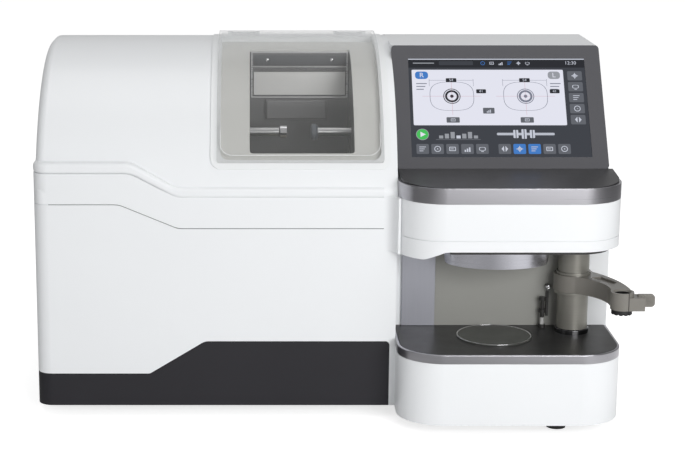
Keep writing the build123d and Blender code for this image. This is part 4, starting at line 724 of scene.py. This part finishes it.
def turned(profile, steps):
    """Points and quads of a closed profile (radius, height) turned once round the Z axis.

    A point is (radius * cos of the turn, radius * sin of it, height).
    """
    profile = np.asarray(profile)
    turn = np.linspace(0, 2 * math.pi, steps, endpoint=False)
    count = len(profile)
    points = np.empty((steps, count, 3))
    points[..., 0] = np.cos(turn)[:, None] * profile[:, 0]
    points[..., 1] = np.sin(turn)[:, None] * profile[:, 0]
    points[..., 2] = profile[:, 1]
    step, along = np.meshgrid(np.arange(steps), np.arange(count), indexing="ij")
    after, ahead = (step + 1) % steps, (along + 1) % count
    quads = np.stack(
        (step * count + along, after * count + along, after * count + ahead, step * count + ahead), axis=-1
    )
    return points.reshape(-1, 3), quads.reshape(-1, 4)


def grid_quads(steps, sides):
    """Quads between steps rings of that many sides, open at both ends."""
    step, along = np.meshgrid(np.arange(steps - 1), np.arange(sides), indexing="ij")
    after = (along + 1) % sides
    quads = (
        step * sides + along, step * sides + after, (step + 1) * sides + after, (step + 1) * sides + along,
    )
    return np.stack(quads, axis=-1).reshape(-1, 4)


def bar(low, high):
    """Points and quads of a box: every mix of its two corners' coordinates."""
    points = np.stack(np.meshgrid(*zip(low, high), indexing="ij"), axis=-1).reshape(-1, 3)
    quads = [(0, 1, 3, 2), (4, 6, 7, 5), (0, 4, 5, 1), (2, 3, 7, 6), (0, 2, 6, 4), (1, 5, 7, 3)]
    return points, np.array(quads)


def joined(shapes):
    """Several shapes as one set of points and faces."""
    points, faces, count = [], [], 0
    for shape_points, shape_faces in shapes:
        points.append(shape_points)
        faces.extend((np.asarray(shape_faces) + count).tolist())
        count += len(shape_points)
    return np.vstack(points), faces


def screw_heads(places, radius, proud, towards):
    """Domed heads at places on a wall, standing proud of it; towards is -1 or +1 along Y."""
    shapes = []
    for x, y, z in places:
        dome = [(POLE, proud), (0.7 * radius, 0.85 * proud), (radius, 0.3 * proud), (radius, 0), (POLE, 0)]
        points, quads = turned(dome, 24)
        placed = np.stack((points[:, 0] + x, towards * points[:, 2] + y, points[:, 1] + z), axis=1)
        shapes.append((placed, quads if towards > 0 else quads[:, ::-1]))
    return joined(shapes)


def screw_slot_shades(places, radius, proud, towards):
    """Dark crosses a hair above the heads: painted shade standing for the cross recesses."""
    arm, half_slot, hair = 0.55 * radius, 0.13 * radius, 0.1 * MM
    shapes = []
    for x, y, z in places:
        near, far = sorted((y + towards * proud, y + towards * (proud + hair)))
        for wide, tall in ((arm, half_slot), (half_slot, arm)):
            shapes.append(bar((x - wide, near, z - tall), (x + wide, far, z + tall)))
    return joined(shapes)


def screws(name, places, radius, proud, towards, finish, slot):
    """Row of screws on a wall that faces along Y."""
    points, faces = screw_heads(places, radius, proud, towards)
    add_piece(name, points, faces, finish, slot=slot, smooth=True)
    # Painted shade: dark crosses on the heads stand for their shaded cross recesses.
    points, faces = screw_slot_shades(places, radius, proud, towards)
    add_piece(name + "_recess_shade", points, faces, black_moulding, slot="rubber")


# Bright rim round the light disc: an oval ring, 1.6 mm wide and 1 mm high.
RIM_HALF_WIDTH, RIM_HALF_HEIGHT, RIM_INSET = 0.8 * MM, 0.5 * MM, 0.9 * MM
disc_low, disc_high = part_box("light_disc")
disc_middle = (np.array(disc_low) + np.array(disc_high)) / 2
disc_radius = (disc_high[0] - disc_low[0]) / 2
angle = np.linspace(0, 2 * math.pi, 12, endpoint=False)
rim_radii = disc_radius - RIM_INSET + RIM_HALF_WIDTH * np.cos(angle)
rim_profile = np.stack((rim_radii, disc_high[2] + RIM_HALF_HEIGHT * np.sin(angle)), axis=1)
rim_points, rim_quads = turned(rim_profile, 96)
add_piece(
    "disc_rim", rim_points + (disc_middle[0], disc_middle[1], 0.0), rim_quads, metals["polished_chrome"],
    slot="disc_plate", smooth=True,
)

# Shutter above the splash plate, with its two screws and the frame round both.
STRIP_DEPTH, STRIP_RISE, STRIP_HEIGHT = 1.5 * MM, 9 * MM, 12 * MM
FRAME_DEPTH, FRAME_GAP, FRAME_LINE, FRAME_THIN = 3 * MM, 3.5 * MM, 2 * MM, 1.6 * MM
FRAME_HEAD, RAIL_LOW, RAIL_HIGH = 3 * MM, 3 * MM, 1.8 * MM
SHUTTER_SCREW = (2.6 * MM, 1.2 * MM)
SHUTTER_SCREWS_X = (-84.5 * MM, -3.5 * MM)
plate_low, plate_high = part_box("splash_plate")
wall_y = plate_high[1]
strip_low = plate_high[2] + STRIP_RISE
strip_high = strip_low + STRIP_HEIGHT
strip_face = wall_y - STRIP_DEPTH
add_piece(
    "shutter_strip", *bar((plate_low[0], strip_face, strip_low), (plate_high[0], wall_y, strip_high)),
    motor_paint, slot="chamber_dark",
)
screws(
    "shutter_screws", [(x, strip_face, (strip_low + strip_high) / 2) for x in SHUTTER_SCREWS_X],
    *SHUTTER_SCREW, -1, metals["polished_chrome"], "bright_steel",
)
edge_left, edge_right = plate_low[0] - FRAME_GAP, plate_high[0] + FRAME_GAP
frame_low, frame_high = plate_low[2] - FRAME_LINE, strip_high + FRAME_HEAD
frame_bars = [
    bar((left, wall_y - FRAME_DEPTH, low), (right, wall_y, high))
    for left, right, low, high in (
        (edge_left, edge_left + FRAME_LINE, frame_low, frame_high),
        (edge_right - FRAME_LINE, edge_right, frame_low, frame_high),
        (edge_left, edge_right, frame_high, frame_high + FRAME_THIN),
        (edge_left, edge_right, frame_low - FRAME_THIN, frame_low),
        (edge_left, edge_right, strip_low - RAIL_LOW, strip_low - RAIL_HIGH),
    )
]
add_piece("shutter_frame", *joined(frame_bars), metals["bright_steel"], slot="bright_steel")

# Painted highlight: a thin white bead along the lid's inner lip stands for the glint there. Across and along
# are in millimetres, and the hood's axis is (Y, Z).
HOOD_AXIS = (53.51, 206.7)
LIP_RADIUS = 233.4
LIP_LEFT, LIP_RIGHT = -141.0, 48.5
LIP_REACH = math.radians(61.2)
LIP_CORNER = 14.0
BEAD_RADIUS = 0.45 * MM


def lip_line():
    """Centre line of the lid's inner lip: down its left side, round both corners and up its right side.

    along is a length round the hood, so along / LIP_RADIUS is the angle from the hood's crest.
    """
    quarter = np.linspace(0, math.pi / 2, 9)
    low = LIP_REACH * LIP_RADIUS
    across = np.concatenate((
        [LIP_LEFT], LIP_LEFT + LIP_CORNER * (1 - np.cos(quarter)),
        LIP_RIGHT - LIP_CORNER * (1 - np.sin(quarter)), [LIP_RIGHT],
    ))
    along = np.concatenate((
        [low - 3 * LIP_CORNER], low - LIP_CORNER * (1 - np.sin(quarter)),
        low - LIP_CORNER * (1 - np.cos(quarter)), [low - 3 * LIP_CORNER],
    ))
    turn = along / LIP_RADIUS
    return np.stack((
        across, HOOD_AXIS[0] - LIP_RADIUS * np.sin(turn), HOOD_AXIS[1] + LIP_RADIUS * np.cos(turn),
    ), axis=1) * MM


def thread(path, radius, sides=8):
    """Round bead: path + radius * (cos of the turn outwards from the hood's axis + sin of it sideways)."""
    ahead = np.gradient(path, axis=0)
    ahead /= np.linalg.norm(ahead, axis=1)[:, None]
    out = path * (0, 1, 1) - np.array((0.0, *HOOD_AXIS)) * MM
    out /= np.linalg.norm(out, axis=1)[:, None]
    side = np.cross(ahead, out)
    turn = np.linspace(0, 2 * math.pi, sides, endpoint=False)
    circle = np.cos(turn)[:, None] * out[:, None] + np.sin(turn)[:, None] * side[:, None]
    points = path[:, None] + radius * circle
    ends = [list(range(sides))[::-1], list(range((len(path) - 1) * sides, len(path) * sides))]
    return points.reshape(-1, 3), grid_quads(len(path), sides).tolist() + ends


add_piece(
    "lid_glint", *thread(lip_line(), BEAD_RADIUS), glint_white, body="lid", slot="smoked_lid", smooth=True
)

# Bright cap on the knob of the stop post's guide, turned about Y.
KNOB_X, KNOB_Z = 257.5 * MM, 150.0 * MM
KNOB_STAND_OFF = 9.5 * MM
KNOB_PROFILE = [(0.001, 0.0), (2.4, 0.15), (3.3, 0.9), (3.5, 1.8), (3.5, 3.4), (2.6, 4.0), (0.001, 4.0)]
back_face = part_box("bay_back_panel")[0][1]
knob_points, knob_quads = turned(np.array(KNOB_PROFILE)[::-1] * MM, 32)
knob_turned = np.stack((knob_points[:, 0], knob_points[:, 2], -knob_points[:, 1]), axis=1)
add_piece(
    "guide_knob", knob_turned + (KNOB_X, back_face - KNOB_STAND_OFF, KNOB_Z), knob_quads,
    metals["polished_chrome"], slot="chrome", smooth=True,
)

# Ribs across the front of the thumb clip.
RIB_COUNT, RIB_PITCH, RIB_WIDTH = 6, 1.8 * MM, 0.8 * MM
RIB_PROUD, RIB_SUNK = 0.35 * MM, 0.2 * MM
RIB_FROM_END, RIB_FROM_FOOT, RIB_FROM_TOP = 3.0 * MM, 5 * MM, 2.5 * MM
tab_low, tab_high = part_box("thumb_clip")
ribs = []
for place in range(RIB_COUNT):
    start = tab_high[0] - RIB_FROM_END - place * RIB_PITCH
    ribs.append(bar(
        (start, tab_low[1] - RIB_PROUD, tab_low[2] + RIB_FROM_FOOT),
        (start + RIB_WIDTH, tab_low[1] + RIB_SUNK, tab_high[2] - RIB_FROM_TOP),
    ))
add_piece("thumb_ribs", *joined(ribs), arm_paint, body="thumb_clip", slot="arm_grey")

# Screws of the rear panel: its corners and the middles of its long sides.
SCREW_INSET = 4 * MM
PANEL_SCREW = (2.4 * MM, 1.0 * MM)
panel_low, panel_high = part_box("rear_panel")
screws(
    "panel_screws",
    [
        (x, panel_high[1], z)
        for x in (panel_low[0] + SCREW_INSET, (panel_low[0] + panel_high[0]) / 2, panel_high[0] - SCREW_INSET)
        for z in (panel_low[2] + SCREW_INSET, panel_high[2] - SCREW_INSET)
    ],
    *PANEL_SCREW, 1, metals["bright_steel"], "bright_steel",
)


# ------------------------------------------------------------------ camera, floor and lamps
# The camera stands where the photograph's own perspective puts it: its pitch in degrees, its focal
# length in pixels and the column of the picture that lies on its axis.
CAMERA_PLACE = (-0.10225, -2.243, 0.7023)
CAMERA_PITCH = 12.8
FOCAL_PIXELS = 1800.0
PHOTO_WIDTH = 689.0
OPTICAL_CENTRE_X = 253.0
SENSOR = 36.0
NEAREST, FARTHEST = 0.05, 50.0

camera = bpy.data.cameras.new("camera")
camera.sensor_width = SENSOR
camera.lens = FOCAL_PIXELS / PHOTO_WIDTH * SENSOR
camera.shift_x = (PHOTO_WIDTH / 2 - OPTICAL_CENTRE_X) / PHOTO_WIDTH
camera.clip_start, camera.clip_end = NEAREST, FARTHEST
camera_holder = bpy.data.objects.new("camera", camera)
camera_holder.location = CAMERA_PLACE
camera_holder.rotation_euler = (math.radians(90.0 - CAMERA_PITCH), 0.0, 0.0)
bpy.context.scene.collection.objects.link(camera_holder)
bpy.context.scene.camera = camera_holder


# Light bands along X that gloss sees in the floor: place in metres and level.
BANDS_FROM, BANDS_TO = -2.0, 2.0
GLOSS_BANDS = (
    (-1.9, 0.15), (-0.6, 0.2), (-0.2, 0.52), (-0.02, 0.44), (0.12, 0.36), (0.3, 0.55), (0.5, 0.98),
    (0.76, 0.88), (1.1, 0.28), (1.9, 0.15),
)
FLOOR_COLOUR = (0.8, 0.8, 0.8, 1.0)
FLOOR_GLOW = 0.68
FLOOR_HALF = 6.0


def striped(tree, across):
    """Emission that follows the light bands along the coordinate across."""
    bands = tree.nodes.new("ShaderNodeValToRGB")
    stops = bands.color_ramp.elements
    bands.color_ramp.interpolation = "EASE"
    for at, level in GLOSS_BANDS:
        stops.new((at - BANDS_FROM) / (BANDS_TO - BANDS_FROM)).color = (level, level, level, 1.0)
    stops.remove(stops[0])
    stops.remove(stops[-1])
    tree.links.new(mapped(tree, across, BANDS_FROM, BANDS_TO, 0.0, 1.0), bands.inputs["Fac"])
    mirror = tree.nodes.new("ShaderNodeEmission")
    tree.links.new(bands.outputs["Color"], mirror.inputs["Color"])
    return mirror.outputs[0]


def studio_floor(name, strength):
    """White floor: the camera sees it lit by strength as well, and gloss sees soft bands of light."""
    made = bpy.data.materials.new(name)
    made.use_nodes = True
    tree = made.node_tree
    tree.nodes.clear()
    link = tree.links.new
    path = tree.nodes.new("ShaderNodeLightPath")
    matte = tree.nodes.new("ShaderNodeBsdfDiffuse")
    matte.inputs["Color"].default_value = FLOOR_COLOUR
    glow = tree.nodes.new("ShaderNodeEmission")
    seen = math_node(tree, "MAXIMUM", path.outputs["Is Camera Ray"], path.outputs["Is Transmission Ray"])
    link(math_node(tree, "MULTIPLY", seen, strength), glow.inputs["Strength"])
    both = tree.nodes.new("ShaderNodeAddShader")
    link(matte.outputs[0], both.inputs[0])
    link(glow.outputs[0], both.inputs[1])
    place = tree.nodes.new("ShaderNodeTexCoord").outputs["Object"]
    pick = tree.nodes.new("ShaderNodeMixShader")
    link(path.outputs["Is Glossy Ray"], pick.inputs["Fac"])
    link(both.outputs[0], pick.inputs[1])
    link(striped(tree, axes_of(tree, place)["X"]), pick.inputs[2])
    out = tree.nodes.new("ShaderNodeOutputMaterial")
    link(pick.outputs[0], out.inputs["Surface"])
    return made


floor_mesh = bpy.data.meshes.new("floor")
floor_corners = ((-1, -1), (1, -1), (1, 1), (-1, 1))
floor_mesh.from_pydata([(x * FLOOR_HALF, y * FLOOR_HALF, 0.0) for x, y in floor_corners], [], [(0, 1, 2, 3)])
floor = bpy.data.objects.new("floor", floor_mesh)
bpy.context.scene.collection.objects.link(floor)
floor_mesh.materials.append(studio_floor("floor_white", FLOOR_GLOW))

# How far sideways a direction has to turn for gloss to see the world fall off, and how much brighter
# than for other light the world is for gloss straight ahead.
SIDES_FROM, SIDES_TO = 0.3, 0.85
GLOSS_GAIN = 1.25


def white_world(light, seen_as, sides):
    """Even light, white to the camera; gloss sees it fall off to the sides, which gives metal contrast."""
    world = bpy.data.worlds.new("studio")
    bpy.context.scene.world = world
    world.use_nodes = True
    tree = world.node_tree
    link = tree.links.new
    back = tree.nodes["Background"]
    path = tree.nodes.new("ShaderNodeLightPath")
    place = tree.nodes.new("ShaderNodeTexCoord").outputs["Generated"]
    reach = math_node(tree, "ABSOLUTE", axes_of(tree, place)["X"], 0.0)
    fall = mapped(tree, reach, SIDES_FROM, SIDES_TO, light * GLOSS_GAIN, sides, smooth=True)
    gloss = tree.nodes.new("ShaderNodeMix")
    gloss.inputs["A"].default_value = light
    link(path.outputs["Is Glossy Ray"], gloss.inputs["Factor"])
    link(fall, gloss.inputs["B"])
    pick = tree.nodes.new("ShaderNodeMix")
    pick.inputs["B"].default_value = seen_as
    link(path.outputs["Is Camera Ray"], pick.inputs["Factor"])
    link(gloss.outputs["Result"], pick.inputs["A"])
    link(pick.outputs["Result"], back.inputs["Strength"])
    back.inputs["Color"].default_value = (1.0, 1.0, 1.0, 1.0)


def soft_lamp(name, place, aim, size, power):
    """Rectangular area lamp turned from its place towards a point; size in metres, power in watts."""
    lamp = bpy.data.lights.new(name, "AREA")
    lamp.shape = "RECTANGLE"
    lamp.size, lamp.size_y = size
    lamp.energy = power
    holder = bpy.data.objects.new(name, lamp)
    holder.location = place
    holder.rotation_euler = (Vector(aim) - Vector(place)).to_track_quat("-Z", "Y").to_euler()
    bpy.context.scene.collection.objects.link(holder)


WORLD_LIGHT, WORLD_SEEN, WORLD_SIDES = 0.43, 1.0, 0.06
white_world(WORLD_LIGHT, WORLD_SEEN, WORLD_SIDES)
soft_lamp("key_lamp", (0.9, -2.1, 0.75), (0.05, -0.1, 0.2), (1.2, 0.9), 28.0)
soft_lamp("fill_lamp", (-1.9, -1.3, 0.7), (0.0, 0.0, 0.2), (0.9, 0.9), 2.5)
soft_lamp("top_lamp", (0.0, 0.2, 2.2), (0.0, 0.0, 0.3), (1.8, 1.2), 8.0)

bpy.context.scene.view_settings.view_transform = "Standard"
